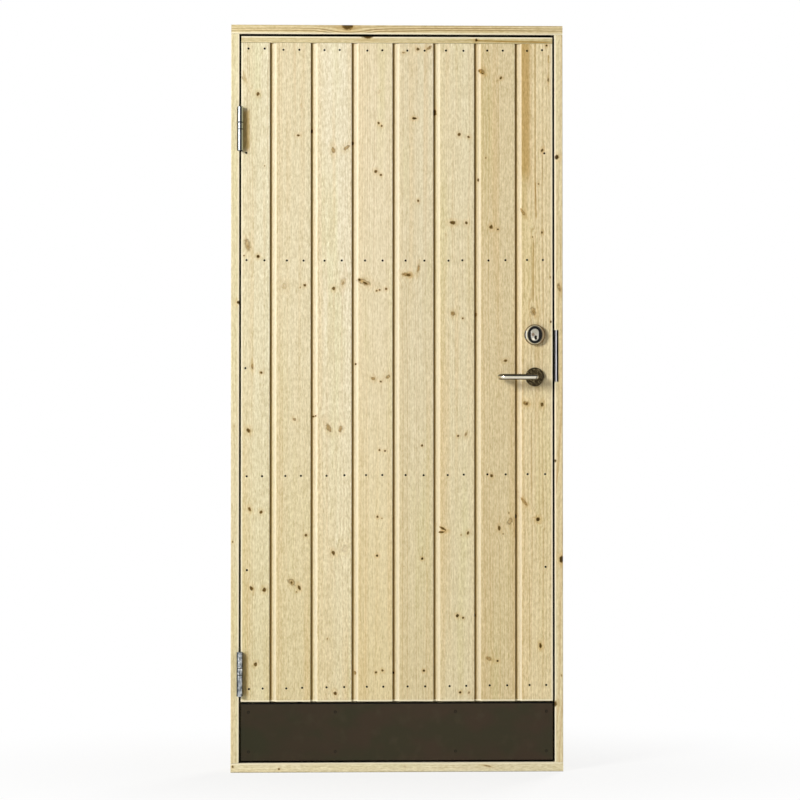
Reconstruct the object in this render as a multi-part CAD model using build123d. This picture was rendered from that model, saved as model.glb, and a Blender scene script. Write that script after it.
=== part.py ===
from build123d import *
import os

os.makedirs("parts", exist_ok=True)

# A boarded shed door hung in its timber frame, in millimetres.
# +X runs to the lock side as seen from outside, +Y into the shed, +Z up.
# The origin is the middle of the threshold's underside, half way through the frame's depth.

# Frame
FRAME_WIDTH = 885.0
FRAME_HEIGHT = 1990.0
FRAME_DEPTH = 92.0
JAMB_FACE = 22.0
HEAD_FACE = 24.5
THRESHOLD_FACE = 25.0
JAMB_STOP = 20.0
HEAD_STOP = 18.0
THRESHOLD_STOP = 13.0
FRAME_ROUND = 2.0
SCREW_HOLE_RADIUS = 4.0
SCREW_END = 245.0

# Gaps round the closed leaf
HINGE_GAP = 5.0
LOCK_GAP = 5.5
TOP_GAP = 6.5
BOTTOM_GAP = 5.5
STOP_GAP = 5.0

# Leaf: upright boards on a framing of rails and stiles
BOARD_THICKNESS = 15.0
FRAMING_THICKNESS = 28.0
BOARD_COUNT = 8
FIRST_BOARD = 76.0
LAST_BOARD = 100.5
TOP_STRIP = 17.0
BOARD_END_GAP = 0.5
LOCK_EDGE_SETBACK = 2.0
TOP_RAIL_HEIGHT = 95.0
BOTTOM_RAIL_HEIGHT = 220.0
MIDDLE_RAIL_HEIGHT = 95.0
LOWER_MIDDLE_RAIL_SHARE = 0.394
UPPER_MIDDLE_RAIL_SHARE = 0.691
HINGE_STILE_WIDTH = 95.0
LOCK_STILE_WIDTH = 120.0
RAIL_ROUND = 1.5
BOARD_ROUND = 1.0

# Tongue and groove between two boards
TONGUE_THICKNESS = 4.4
TONGUE_LENGTH = 7.0
TONGUE_CLEARANCE = 0.3
TONGUE_SETBACK = 6.8
SHOULDER_WIDTH = 14.0
SHOULDER_RISE = 1.8
BEVEL_WIDTH = 4.5
BACK_JOINT = 0.5

# Kick board below the board ends
KICK_HEIGHT = 152.0
KICK_THICKNESS = 9.0
KICK_GAP = 5.5
KICK_ROUND = 0.6

# Hinges
HINGE_LENGTH = 118.0
LOWER_HINGE_RISE = 231.5
UPPER_HINGE_DROP = 248.0
BARREL_RADIUS = 8.0
BARREL_PROUD = 8.5
LEAF_KNUCKLE = 42.0
RING_HEIGHT = 18.0
KNUCKLE_CLEARANCE = 0.5
BARREL_ROUND = 1.5
RING_ROUND = 0.8
PIN_RADIUS = 4.5
PIN_CLEARANCE = 0.05
PIN_REACH = 34.0
HINGE_PLATE = 2.5
HINGE_PLATE_DEPTH = 30.0
PLATE_CLEARANCE = 1.2

# Lock and handle
BACKSET = 48.0
HANDLE_Z = 1050.5
LOCK_CENTRES = 112.5
LOCK_CASE_THICKNESS = 16.0
LOCK_CASE_DEPTH = 75.0
LOCK_CASE_HEIGHT = 166.0
FOREND_THICKNESS = 3.0
FOREND_WIDTH = 22.0
FOREND_HEIGHT = 200.0
MORTISE_CLEARANCE = 0.5
BOLT_WIDTH = 12.0
LATCH_HEIGHT = 20.0
DEADBOLT_HEIGHT = 34.0
BOLT_LENGTH = 30.0
BOLT_OFFSET = 30.0
BOLT_RECESS = 0.5
BOLT_CLEARANCE = 0.3
SPINDLE_SIDE = 8.0
SPINDLE_SOCKET = 12.0
SPINDLE_HOLE_RADIUS = 11.0
ROSE_RADIUS = 25.0
ROSE_THICKNESS = 9.0
ROSE_ROUND = 3.0
LEVER_RADIUS = 7.8
LEVER_CLEARANCE = 0.06
LEVER_LENGTH = 92.5
LEVER_PROUD = 48.0
LEVER_BEND = 14.0
LEVER_TIP_GAP = 16.0
LEVER_TIP_ROUND = 1.5
RING_RADIUS = 27.5
RING_THICKNESS = 12.0
RING_OPENING_MARGIN = 7.5
RING_OPENING_RISE = 4.8
RING_FLOOR = 4.0
RING_EDGE_ROUND = 3.5
CYLINDER_WIDTH = 21.0
CYLINDER_HEIGHT = 33.0
CYLINDER_RECESS = 1.5
CYLINDER_CLEARANCE = 0.5
CYLINDER_ROUND = 1.0
PLUG_RADIUS = 7.5
PLUG_DROP = 5.0
PLUG_PROUD = 0.8
KEYWAY_WIDTH = 2.4
KEYWAY_HEIGHT = 9.0
KEYWAY_DEPTH = 10.0

# Strike plate on the lock jamb
STRIKE_HEIGHT = 138.0
STRIKE_THICKNESS = 4.2
STRIKE_INSET = 1.5
STRIKE_DEPTH = 40.0
STRIKE_SLOT = 4.8
STRIKE_SLOT_DEPTH = 12.0
STRIKE_HOLE_MARGIN = 4.0
BOLT_POCKET = 11.0

# Planes and edges that follow from the sizes
FRONT = -FRAME_DEPTH / 2
BACK = FRAME_DEPTH / 2
BOARD_BACK = FRONT + BOARD_THICKNESS
LEAF_BACK = BOARD_BACK + FRAMING_THICKNESS
STOP_FRONT = LEAF_BACK + STOP_GAP
LEAF_LEFT = -FRAME_WIDTH / 2 + JAMB_FACE + HINGE_GAP
LEAF_RIGHT = FRAME_WIDTH / 2 - JAMB_FACE - LOCK_GAP
LOCK_EDGE = LEAF_RIGHT - LOCK_EDGE_SETBACK
LEAF_BOTTOM = THRESHOLD_FACE + BOTTOM_GAP
LEAF_TOP = FRAME_HEIGHT - HEAD_FACE - TOP_GAP
BOARD_TOP = LEAF_TOP - TOP_STRIP - BOARD_END_GAP
BOARD_BOTTOM = LEAF_BOTTOM + KICK_HEIGHT + KICK_GAP
TOP_RAIL_BOTTOM = LEAF_TOP - TOP_RAIL_HEIGHT
BOTTOM_RAIL_TOP = LEAF_BOTTOM + BOTTOM_RAIL_HEIGHT
BOARD_PITCH = (LEAF_RIGHT - LEAF_LEFT - FIRST_BOARD - LAST_BOARD) / (BOARD_COUNT - 2)
LOWER_MIDDLE_RAIL_Z = LEAF_BOTTOM + LOWER_MIDDLE_RAIL_SHARE * (LEAF_TOP - LEAF_BOTTOM)
UPPER_MIDDLE_RAIL_Z = LEAF_BOTTOM + UPPER_MIDDLE_RAIL_SHARE * (LEAF_TOP - LEAF_BOTTOM)
LOWER_HINGE_Z = LEAF_BOTTOM + LOWER_HINGE_RISE
UPPER_HINGE_Z = LEAF_TOP - UPPER_HINGE_DROP
SCREW_MIDDLE_Z = FRAME_HEIGHT / 2
OUTER_SCREW_SPACING = FRAME_HEIGHT - 2 * SCREW_END
INNER_SCREW_SPACING = OUTER_SCREW_SPACING / 3
HINGE_X = LEAF_LEFT - HINGE_GAP / 2
HINGE_Y = FRONT - BARREL_PROUD
LOCK_X = LEAF_RIGHT - BACKSET
CYLINDER_Z = HANDLE_Z + LOCK_CENTRES
LOCK_Z = (HANDLE_Z + CYLINDER_Z) / 2
LOCK_Y = BOARD_BACK + FRAMING_THICKNESS / 2
JAMB_REBATE = FRAME_WIDTH / 2 - JAMB_FACE
LATCH_Z = LOCK_Z - BOLT_OFFSET
DEADBOLT_Z = LOCK_Z + BOLT_OFFSET


def block(x0, x1, y0, y1, z0, z1):
    """A straight-edged piece between the given limits."""
    middle = Pos((x0 + x1) / 2, (y0 + y1) / 2, (z0 + z1) / 2)
    return middle * Box(x1 - x0, y1 - y0, z1 - z0)


def upright(points, z0, z1, radius=0.0):
    """A plan outline carried upwards; radius is one value or one for each corner."""
    outline = make_face(FilletPolyline(*[(x, y, z0) for x, y in points], radius=radius, close=True))
    return extrude(outline, z1 - z0, dir=(0, 0, 1))


def lengthwise(points, x0, x1, radius=0.0):
    """A section in depth and height carried across the door."""
    outline = make_face(FilletPolyline(*[(x0, y, z) for y, z in points], radius=radius, close=True))
    return extrude(outline, x1 - x0, dir=(1, 0, 0))


def rod_y(x, z, radius, y0, y1):
    """A round bar or hole running through the door's thickness."""
    return Pos(x, (y0 + y1) / 2, z) * Rot(90, 0, 0) * Cylinder(radius, y1 - y0)


def rod_x(y, z, radius, x0, x1):
    """A round bar or hole running across the door."""
    return Pos((x0 + x1) / 2, y, z) * Rot(0, 90, 0) * Cylinder(radius, x1 - x0)


def rod_z(x, y, radius, z0, z1):
    """A round bar or hole running upwards."""
    return Pos(x, y, (z0 + z1) / 2) * Cylinder(radius, z1 - z0)


def oval_y(x, z, width, height, y0, y1):
    """An upright oval bar or hole running through the door's thickness."""
    outline = Plane((x, y0, z), x_dir=(0, 0, 1), z_dir=(0, 1, 0)) * SlotOverall(height, width)
    return extrude(outline, y1 - y0, dir=(0, 1, 0))


def save(shape, node):
    """Each named piece goes to a file of its own."""
    export_step(shape, f"parts/{node}.step")


# Head and threshold run the full width. The threshold has a step that the leaf closes against.
HEAD_UNDERSIDE = FRAME_HEIGHT - HEAD_FACE
head_section = [
    (FRONT, FRAME_HEIGHT),
    (FRONT, HEAD_UNDERSIDE),
    (BACK, HEAD_UNDERSIDE),
    (BACK, FRAME_HEIGHT),
]
threshold_section = [
    (FRONT, 0.0),
    (FRONT, THRESHOLD_FACE),
    (STOP_FRONT, THRESHOLD_FACE),
    (STOP_FRONT, THRESHOLD_FACE + THRESHOLD_STOP),
    (BACK, THRESHOLD_FACE + THRESHOLD_STOP),
    (BACK, 0.0),
]
board_rounds = [FRAME_ROUND, FRAME_ROUND, 0, FRAME_ROUND]
step_rounds = [FRAME_ROUND, FRAME_ROUND, 0, FRAME_ROUND, FRAME_ROUND, FRAME_ROUND]
threshold_blank = lengthwise(threshold_section, -FRAME_WIDTH / 2, FRAME_WIDTH / 2)
save(lengthwise(head_section, -FRAME_WIDTH / 2, FRAME_WIDTH / 2, board_rounds), "frame_head")
save(lengthwise(threshold_section, -FRAME_WIDTH / 2, FRAME_WIDTH / 2, step_rounds), "threshold")

# Strips planted on the head and the jambs stop the closing leaf.
head_stop_section = [
    (STOP_FRONT, HEAD_UNDERSIDE),
    (STOP_FRONT, HEAD_UNDERSIDE - HEAD_STOP),
    (BACK, HEAD_UNDERSIDE - HEAD_STOP),
    (BACK, HEAD_UNDERSIDE),
]
stop_rounds = [0, FRAME_ROUND, FRAME_ROUND, 0]
save(lengthwise(head_stop_section, -JAMB_REBATE, JAMB_REBATE, stop_rounds), "head_stop")


def with_screw_holes(shape):
    """The frame screws go through the stop and the jamb into the wall."""
    y = (STOP_FRONT + BACK) / 2
    for spacing in (OUTER_SCREW_SPACING, INNER_SCREW_SPACING):
        for step in (-0.5, 0.5):
            z = SCREW_MIDDLE_Z + step * spacing
            shape -= rod_x(y, z, SCREW_HOLE_RADIUS, -FRAME_WIDTH / 2 - 1, FRAME_WIDTH / 2 + 1)
    return shape


def jamb(side):
    """A jamb standing between threshold and head; side is -1 at the hinges, 1 at the lock."""
    points = [
        (side * FRAME_WIDTH / 2, FRONT),
        (side * JAMB_REBATE, FRONT),
        (side * JAMB_REBATE, BACK),
        (side * FRAME_WIDTH / 2, BACK),
    ]
    return with_screw_holes(upright(points, 0, HEAD_UNDERSIDE, board_rounds) - threshold_blank)


def jamb_stop(side):
    """The strip planted on a jamb, from the threshold's step to the stop under the head."""
    points = [
        (side * JAMB_REBATE, STOP_FRONT),
        (side * (JAMB_REBATE - JAMB_STOP), STOP_FRONT),
        (side * (JAMB_REBATE - JAMB_STOP), BACK),
        (side * JAMB_REBATE, BACK),
    ]
    low = THRESHOLD_FACE + THRESHOLD_STOP
    high = HEAD_UNDERSIDE - HEAD_STOP
    return with_screw_holes(upright(points, low, high, stop_rounds))


save(jamb_stop(-1), "hinge_stop")
save(jamb_stop(1), "lock_stop")


def hinge_plate(side, z):
    """The flap of a hinge half let into the wood; side is -1 on the jamb, 1 on the leaf edge."""
    near = HINGE_X + side * HINGE_GAP / 2
    far = near + side * HINGE_PLATE
    y0 = FRONT
    y1 = FRONT + HINGE_PLATE_DEPTH
    return block(min(near, far), max(near, far), y0, y1, z - HINGE_LENGTH / 2, z + HINGE_LENGTH / 2)


def hinge_web(side, z0, z1):
    """The part of a flap that stands out from the wood and wraps into its knuckle."""
    near = HINGE_X + side * HINGE_GAP / 2
    far = near + side * HINGE_PLATE
    return block(min(near, far), max(near, far), HINGE_Y, FRONT, z0, z1)


def knuckle_relief(z0, z1):
    """Room round the other half's turning knuckle."""
    radius = BARREL_RADIUS + PLATE_CLEARANCE
    return rod_z(HINGE_X, HINGE_Y, radius, z0, z1)


def hinge_halves(z):
    """The frame half with its pin, the bearing ring and the leaf half of one lift-off hinge."""
    bottom = z - HINGE_LENGTH / 2
    top = z + HINGE_LENGTH / 2
    leaf_low = top - LEAF_KNUCKLE
    ring_top = leaf_low - KNUCKLE_CLEARANCE
    ring_low = ring_top - RING_HEIGHT
    pin_top = leaf_low + PIN_REACH
    lower = rod_z(HINGE_X, HINGE_Y, BARREL_RADIUS, bottom, ring_low)
    lower = fillet(lower.edges().filter_by(GeomType.CIRCLE), BARREL_ROUND)
    pin = rod_z(HINGE_X, HINGE_Y, PIN_RADIUS, ring_low - 1, pin_top)
    flap = hinge_plate(-1, z) - knuckle_relief(ring_low - PLATE_CLEARANCE, top + 1)
    frame_half = lower + pin + flap + hinge_web(-1, bottom + BARREL_ROUND, ring_low - PLATE_CLEARANCE)
    ring = rod_z(HINGE_X, HINGE_Y, BARREL_RADIUS, ring_low, ring_top)
    ring = fillet(ring.edges().filter_by(GeomType.CIRCLE), RING_ROUND)
    ring -= rod_z(HINGE_X, HINGE_Y, PIN_RADIUS + PIN_CLEARANCE, ring_low - 1, ring_top + 1)
    upper = rod_z(HINGE_X, HINGE_Y, BARREL_RADIUS, leaf_low, top)
    upper = fillet(upper.edges().filter_by(GeomType.CIRCLE), BARREL_ROUND)
    leaf_flap = hinge_plate(1, z) - knuckle_relief(bottom - 1, leaf_low + PLATE_CLEARANCE)
    leaf_half = upper + leaf_flap + hinge_web(1, leaf_low + PLATE_CLEARANCE, top - BARREL_ROUND)
    leaf_half -= rod_z(HINGE_X, HINGE_Y, PIN_RADIUS + PIN_CLEARANCE, leaf_low - 1, pin_top + 1)
    return frame_half, ring, leaf_half


for name, z in (("upper", UPPER_HINGE_Z), ("lower", LOWER_HINGE_Z)):
    frame_half, ring, leaf_half = hinge_halves(z)
    save(frame_half, f"{name}_hinge_frame_half")
    save(ring, f"{name}_hinge_ring")
    save(leaf_half, f"{name}_hinge_leaf_half")

hinge_jamb = jamb(-1)
for z in (LOWER_HINGE_Z, UPPER_HINGE_Z):
    hinge_jamb -= hinge_plate(-1, z)
save(hinge_jamb, "hinge_jamb")

# The strike plate is let into the lock jamb, with a slot behind its front edge and pockets for the bolts.
strike_low = LOCK_Z - STRIKE_HEIGHT / 2
strike_high = LOCK_Z + STRIKE_HEIGHT / 2
strike_face = JAMB_REBATE + STRIKE_INSET
strike_rear = strike_face + STRIKE_THICKNESS
strike_end = FRONT + STRIKE_DEPTH
slot_end = FRONT + STRIKE_SLOT_DEPTH
strike = block(strike_face, strike_rear, FRONT, strike_end, strike_low, strike_high)
lock_jamb = jamb(1)
lock_jamb -= block(JAMB_REBATE - 1, strike_rear, FRONT - 1, strike_end, strike_low, strike_high)
lock_jamb -= block(strike_rear, strike_rear + STRIKE_SLOT, FRONT - 1, slot_end, strike_low, strike_high)
for z, height in ((LATCH_Z, LATCH_HEIGHT), (DEADBOLT_Z, DEADBOLT_HEIGHT)):
    half_height = height / 2 + STRIKE_HOLE_MARGIN
    y0 = LOCK_Y - BOLT_WIDTH / 2 - STRIKE_HOLE_MARGIN
    y1 = LOCK_Y + BOLT_WIDTH / 2 + STRIKE_HOLE_MARGIN
    pocket = block(strike_face - 1, strike_rear + BOLT_POCKET, y0, y1, z - half_height, z + half_height)
    strike -= pocket
    lock_jamb -= pocket
save(strike, "strike_plate")
save(lock_jamb, "lock_jamb")

# Framing of the leaf
top_rail_section = [
    (FRONT, LEAF_TOP),
    (FRONT, LEAF_TOP - TOP_STRIP),
    (BOARD_BACK, LEAF_TOP - TOP_STRIP),
    (BOARD_BACK, TOP_RAIL_BOTTOM),
    (LEAF_BACK, TOP_RAIL_BOTTOM),
    (LEAF_BACK, LEAF_TOP),
]
top_rail_rounds = [RAIL_ROUND, BOARD_ROUND, 0, 0, RAIL_ROUND, RAIL_ROUND]
top_rail = lengthwise(top_rail_section, LEAF_LEFT, LEAF_RIGHT, top_rail_rounds)
top_rail -= block(LOCK_EDGE, LEAF_RIGHT + 1, BOARD_BACK, LEAF_BACK + 1, TOP_RAIL_BOTTOM - 1, LEAF_TOP + 1)
save(top_rail, "top_rail")

bottom_rail_section = [
    (BOARD_BACK, LEAF_BOTTOM),
    (BOARD_BACK, BOTTOM_RAIL_TOP),
    (LEAF_BACK, BOTTOM_RAIL_TOP),
    (LEAF_BACK, LEAF_BOTTOM),
]
bottom_rail = lengthwise(bottom_rail_section, LEAF_LEFT, LOCK_EDGE, [0, 0, RAIL_ROUND, RAIL_ROUND])

hinge_stile_right = LEAF_LEFT + HINGE_STILE_WIDTH
lock_stile_left = LOCK_EDGE - LOCK_STILE_WIDTH


def stile(x0, x1):
    """An upright of the framing between the bottom and top rails."""
    points = [(x0, BOARD_BACK), (x1, BOARD_BACK), (x1, LEAF_BACK), (x0, LEAF_BACK)]
    return upright(points, BOTTOM_RAIL_TOP, TOP_RAIL_BOTTOM, [0, 0, RAIL_ROUND, RAIL_ROUND])


def middle_rail(z):
    """A level rail between the two stiles, where a row of nails crosses the boards."""
    low = z - MIDDLE_RAIL_HEIGHT / 2
    high = z + MIDDLE_RAIL_HEIGHT / 2
    points = [(BOARD_BACK, low), (LEAF_BACK, low), (LEAF_BACK, high), (BOARD_BACK, high)]
    return lengthwise(points, hinge_stile_right, lock_stile_left, [0, RAIL_ROUND, RAIL_ROUND, 0])


save(middle_rail(LOWER_MIDDLE_RAIL_Z), "lower_middle_rail")
save(middle_rail(UPPER_MIDDLE_RAIL_Z), "upper_middle_rail")

hinge_stile = stile(LEAF_LEFT, hinge_stile_right)
for z in (LOWER_HINGE_Z, UPPER_HINGE_Z):
    hinge_stile -= hinge_plate(1, z)
    bottom_rail -= hinge_plate(1, z)
save(hinge_stile, "hinge_stile")
save(bottom_rail, "bottom_rail")

# Mortise lock in the lock stile
case_front = LOCK_EDGE - FOREND_THICKNESS
case_rear = case_front - LOCK_CASE_DEPTH
case_low = LOCK_Z - LOCK_CASE_HEIGHT / 2
case_high = LOCK_Z + LOCK_CASE_HEIGHT / 2
case_y0 = LOCK_Y - LOCK_CASE_THICKNESS / 2
case_y1 = LOCK_Y + LOCK_CASE_THICKNESS / 2


def forend(thicker=0.0):
    """The lock's face plate with round ends, let flush into the leaf's edge."""
    start = Plane((case_front, LOCK_Y, LOCK_Z), x_dir=(0, 0, 1), z_dir=(1, 0, 0))
    outline = start * SlotOverall(FOREND_HEIGHT, FOREND_WIDTH)
    return extrude(outline, FOREND_THICKNESS + thicker, dir=(1, 0, 0))


def lock_bolt(z, height, clearance, front):
    """A withdrawn bolt, or with a clearance the way it slides in."""
    half = height / 2 + clearance
    wide = BOLT_WIDTH / 2 + clearance
    return block(LOCK_EDGE - BOLT_LENGTH, front, LOCK_Y - wide, LOCK_Y + wide, z - half, z + half)


case = block(case_rear, case_front, case_y0, case_y1, case_low, case_high) + forend()
case -= rod_y(LOCK_X, HANDLE_Z, SPINDLE_HOLE_RADIUS, case_y0 - 1, case_y1 + 1)
for z, height in ((LATCH_Z, LATCH_HEIGHT), (DEADBOLT_Z, DEADBOLT_HEIGHT)):
    case -= lock_bolt(z, height, BOLT_CLEARANCE, LOCK_EDGE + 1)
save(case, "lock_case")
latch = lock_bolt(LATCH_Z, LATCH_HEIGHT, 0, LOCK_EDGE - BOLT_RECESS)
deadbolt = lock_bolt(DEADBOLT_Z, DEADBOLT_HEIGHT, 0, LOCK_EDGE - BOLT_RECESS)
save(Compound(children=[latch, deadbolt]), "lock_bolts")

cylinder_hole_width = CYLINDER_WIDTH + 2 * CYLINDER_CLEARANCE
cylinder_hole_height = CYLINDER_HEIGHT + 2 * CYLINDER_CLEARANCE
lock_stile = stile(lock_stile_left, LOCK_EDGE)
lock_stile -= forend(1)
lock_stile -= block(
    case_rear - MORTISE_CLEARANCE,
    LOCK_EDGE,
    case_y0 - MORTISE_CLEARANCE,
    case_y1 + MORTISE_CLEARANCE,
    case_low - MORTISE_CLEARANCE,
    case_high + MORTISE_CLEARANCE,
)
spindle_hole = rod_y(LOCK_X, HANDLE_Z, SPINDLE_HOLE_RADIUS, FRONT - 1, LEAF_BACK + 1)
cylinder_hole = oval_y(
    LOCK_X,
    CYLINDER_Z,
    cylinder_hole_width,
    cylinder_hole_height,
    FRONT - 1,
    LEAF_BACK + 1,
)
lock_stile -= spindle_hole
lock_stile -= cylinder_hole
save(lock_stile, "lock_stile")

# Boards, tongued and grooved edge to edge
tongue_front = FRONT + TONGUE_SETBACK
tongue_back = tongue_front + TONGUE_THICKNESS


def board(number):
    """One board; the outermost edges of the first and the last are cut plain."""
    points = []
    rounds = []
    left = LEAF_LEFT
    right = LEAF_RIGHT
    if number > 1:
        left = LEAF_LEFT + FIRST_BOARD + (number - 2) * BOARD_PITCH
    if number < BOARD_COUNT:
        right = LEAF_LEFT + FIRST_BOARD + (number - 1) * BOARD_PITCH
    if number == 1:
        points += [(left, BOARD_BACK), (left, FRONT)]
        rounds += [0, BOARD_ROUND]
    else:
        points += [
            (left + BACK_JOINT, BOARD_BACK),
            (left + BACK_JOINT, tongue_back),
            (left - TONGUE_LENGTH, tongue_back),
            (left - TONGUE_LENGTH, tongue_front),
            (left, tongue_front),
            (left + SHOULDER_WIDTH, tongue_front - SHOULDER_RISE),
            (left + SHOULDER_WIDTH + BEVEL_WIDTH, FRONT),
        ]
        rounds += [0, 0, 0, 0, 0, 0, BOARD_ROUND]
    if number == BOARD_COUNT:
        points += [(right, FRONT), (right, BOARD_BACK)]
        rounds += [BOARD_ROUND, 0]
    else:
        points += [
            (right, FRONT),
            (right, tongue_front - TONGUE_CLEARANCE),
            (right - TONGUE_LENGTH - BACK_JOINT, tongue_front - TONGUE_CLEARANCE),
            (right - TONGUE_LENGTH - BACK_JOINT, tongue_back + TONGUE_CLEARANCE),
            (right, tongue_back + TONGUE_CLEARANCE),
            (right, BOARD_BACK),
        ]
        rounds += [BOARD_ROUND, 0, 0, 0, 0, 0]
    return upright(points, BOARD_BOTTOM, BOARD_TOP, rounds)


for number in range(1, BOARD_COUNT + 1):
    shape = board(number)
    if number == 1:
        for z in (LOWER_HINGE_Z, UPPER_HINGE_Z):
            shape -= hinge_plate(1, z)
    if number == BOARD_COUNT:
        shape -= spindle_hole
        shape -= cylinder_hole
    save(shape, f"board_{number}")

# The kick board is fixed to the face of the bottom rail, thinner than the boards above it.
kick_front = BOARD_BACK - KICK_THICKNESS
kick_section = [
    (kick_front, LEAF_BOTTOM),
    (kick_front, LEAF_BOTTOM + KICK_HEIGHT),
    (BOARD_BACK, LEAF_BOTTOM + KICK_HEIGHT),
    (BOARD_BACK, LEAF_BOTTOM),
]
save(lengthwise(kick_section, LEAF_LEFT, LEAF_RIGHT, [KICK_ROUND, KICK_ROUND, 0, 0]), "kick_board")

# Furniture on both faces of the lock stile; out is -1 towards the outside, 1 towards the inside.
sides = (("outer", -1, FRONT, case_y0), ("inner", 1, LEAF_BACK, case_y1))
for name, out, face, case_face in sides:
    rose_front = face + out * ROSE_THICKNESS
    rose = rod_y(LOCK_X, HANDLE_Z, ROSE_RADIUS, min(face, rose_front), max(face, rose_front))
    rim = rose.edges().filter_by(GeomType.CIRCLE).sort_by(Axis.Y)
    rose = fillet(rim[0] if out < 0 else rim[-1], ROSE_ROUND)
    bore = LEVER_RADIUS + LEVER_CLEARANCE
    rose -= rod_y(LOCK_X, HANDLE_Z, bore, min(face, rose_front) - 1, max(face, rose_front) + 1)
    save(rose, f"{name}_handle_rose")

    grip_y = face + out * LEVER_PROUD
    tip_y = face + out * LEVER_TIP_GAP
    path = FilletPolyline(
        (LOCK_X, face, HANDLE_Z),
        (LOCK_X, grip_y, HANDLE_Z),
        (LOCK_X - LEVER_LENGTH, grip_y, HANDLE_Z),
        (LOCK_X - LEVER_LENGTH, tip_y, HANDLE_Z),
        radius=LEVER_BEND,
    )
    bar = Plane((LOCK_X, face, HANDLE_Z), z_dir=(0, out, 0)) * Circle(LEVER_RADIUS)
    lever = sweep(bar, path=path)
    tip = lever.faces().filter_by(GeomType.PLANE).sort_by(Axis.X)[0]
    lever = fillet(tip.edges(), LEVER_TIP_ROUND)
    socket_end = face + out * SPINDLE_SOCKET
    half_side = SPINDLE_SIDE / 2
    lever -= block(
        LOCK_X - half_side,
        LOCK_X + half_side,
        min(face, socket_end),
        max(face, socket_end),
        HANDLE_Z - half_side,
        HANDLE_Z + half_side,
    )
    save(lever, f"{name}_lever")

    ring_front = face + out * RING_THICKNESS
    floor = face + out * RING_FLOOR
    ring = rod_y(LOCK_X, CYLINDER_Z, RING_RADIUS, min(face, ring_front), max(face, ring_front))
    rim = ring.edges().filter_by(GeomType.CIRCLE).sort_by(Axis.Y)
    ring = fillet(rim[0] if out < 0 else rim[-1], RING_EDGE_ROUND)
    opening_width = CYLINDER_WIDTH + 2 * RING_OPENING_MARGIN
    opening_height = CYLINDER_HEIGHT + 2 * RING_OPENING_RISE
    mouth = (min(floor, ring_front + out), max(floor, ring_front + out))
    ring -= oval_y(LOCK_X, CYLINDER_Z, opening_width, opening_height, *mouth)
    way = (min(face, floor) - 1, max(face, floor) + 1)
    ring -= oval_y(LOCK_X, CYLINDER_Z, cylinder_hole_width, cylinder_hole_height, *way)
    save(ring, f"{name}_cylinder_ring")

    cylinder_face = ring_front - out * CYLINDER_RECESS
    low_y = min(cylinder_face, case_face)
    high_y = max(cylinder_face, case_face)
    cylinder = oval_y(LOCK_X, CYLINDER_Z, CYLINDER_WIDTH, CYLINDER_HEIGHT, low_y, high_y)
    rim = cylinder.faces().sort_by(Axis.Y)
    cylinder = fillet((rim[0] if out < 0 else rim[-1]).edges(), CYLINDER_ROUND)
    plug_z = CYLINDER_Z - PLUG_DROP
    plug_face = cylinder_face + out * PLUG_PROUD
    plug_low = min(cylinder_face, plug_face)
    plug_high = max(cylinder_face, plug_face)
    cylinder += rod_y(LOCK_X, plug_z, PLUG_RADIUS, plug_low, plug_high)
    keyway_end = plug_face - out * KEYWAY_DEPTH
    cylinder -= block(
        LOCK_X - KEYWAY_WIDTH / 2,
        LOCK_X + KEYWAY_WIDTH / 2,
        min(plug_face + out, keyway_end),
        max(plug_face + out, keyway_end),
        plug_z - KEYWAY_HEIGHT / 2,
        plug_z + KEYWAY_HEIGHT / 2,
    )
    save(cylinder, f"{name}_cylinder")

half_side = SPINDLE_SIDE / 2
spindle = block(
    LOCK_X - half_side,
    LOCK_X + half_side,
    FRONT - SPINDLE_SOCKET,
    LEAF_BACK + SPINDLE_SOCKET,
    HANDLE_Z - half_side,
    HANDLE_Z + half_side,
)
save(spindle, "handle_spindle")
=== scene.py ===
import math

import bmesh
import bpy
from mathutils import Matrix, Vector


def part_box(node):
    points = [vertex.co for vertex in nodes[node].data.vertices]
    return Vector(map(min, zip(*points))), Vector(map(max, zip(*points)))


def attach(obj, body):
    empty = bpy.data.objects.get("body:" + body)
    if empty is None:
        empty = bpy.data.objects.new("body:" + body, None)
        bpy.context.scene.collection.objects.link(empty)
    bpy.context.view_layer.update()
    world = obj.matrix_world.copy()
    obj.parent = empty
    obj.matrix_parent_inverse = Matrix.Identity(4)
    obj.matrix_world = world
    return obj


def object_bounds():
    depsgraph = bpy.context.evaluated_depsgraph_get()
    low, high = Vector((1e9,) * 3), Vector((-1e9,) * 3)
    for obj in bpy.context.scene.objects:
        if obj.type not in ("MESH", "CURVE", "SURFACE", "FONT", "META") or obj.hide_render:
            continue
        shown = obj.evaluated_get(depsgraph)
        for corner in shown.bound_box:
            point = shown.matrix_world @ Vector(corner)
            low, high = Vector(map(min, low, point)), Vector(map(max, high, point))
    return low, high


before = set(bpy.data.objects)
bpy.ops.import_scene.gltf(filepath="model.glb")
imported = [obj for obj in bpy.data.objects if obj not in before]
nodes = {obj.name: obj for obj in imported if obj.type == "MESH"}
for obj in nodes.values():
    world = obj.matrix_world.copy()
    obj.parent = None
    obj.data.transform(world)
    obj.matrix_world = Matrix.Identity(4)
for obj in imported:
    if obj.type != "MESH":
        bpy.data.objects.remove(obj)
cad_low, cad_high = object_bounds()
scene = bpy.context.scene

# The photograph's pixels on the door's front plane, whose rows the lens bends a little
PIXEL_X0 = 397.1
PIXEL_Z0 = 771.5
METRES_PER_PIXEL = 0.002667
MIDDLE_ROW = 370.0
HALF_ROWS = 320.0
BEND = (1.08, -0.375, -1.04)

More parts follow.
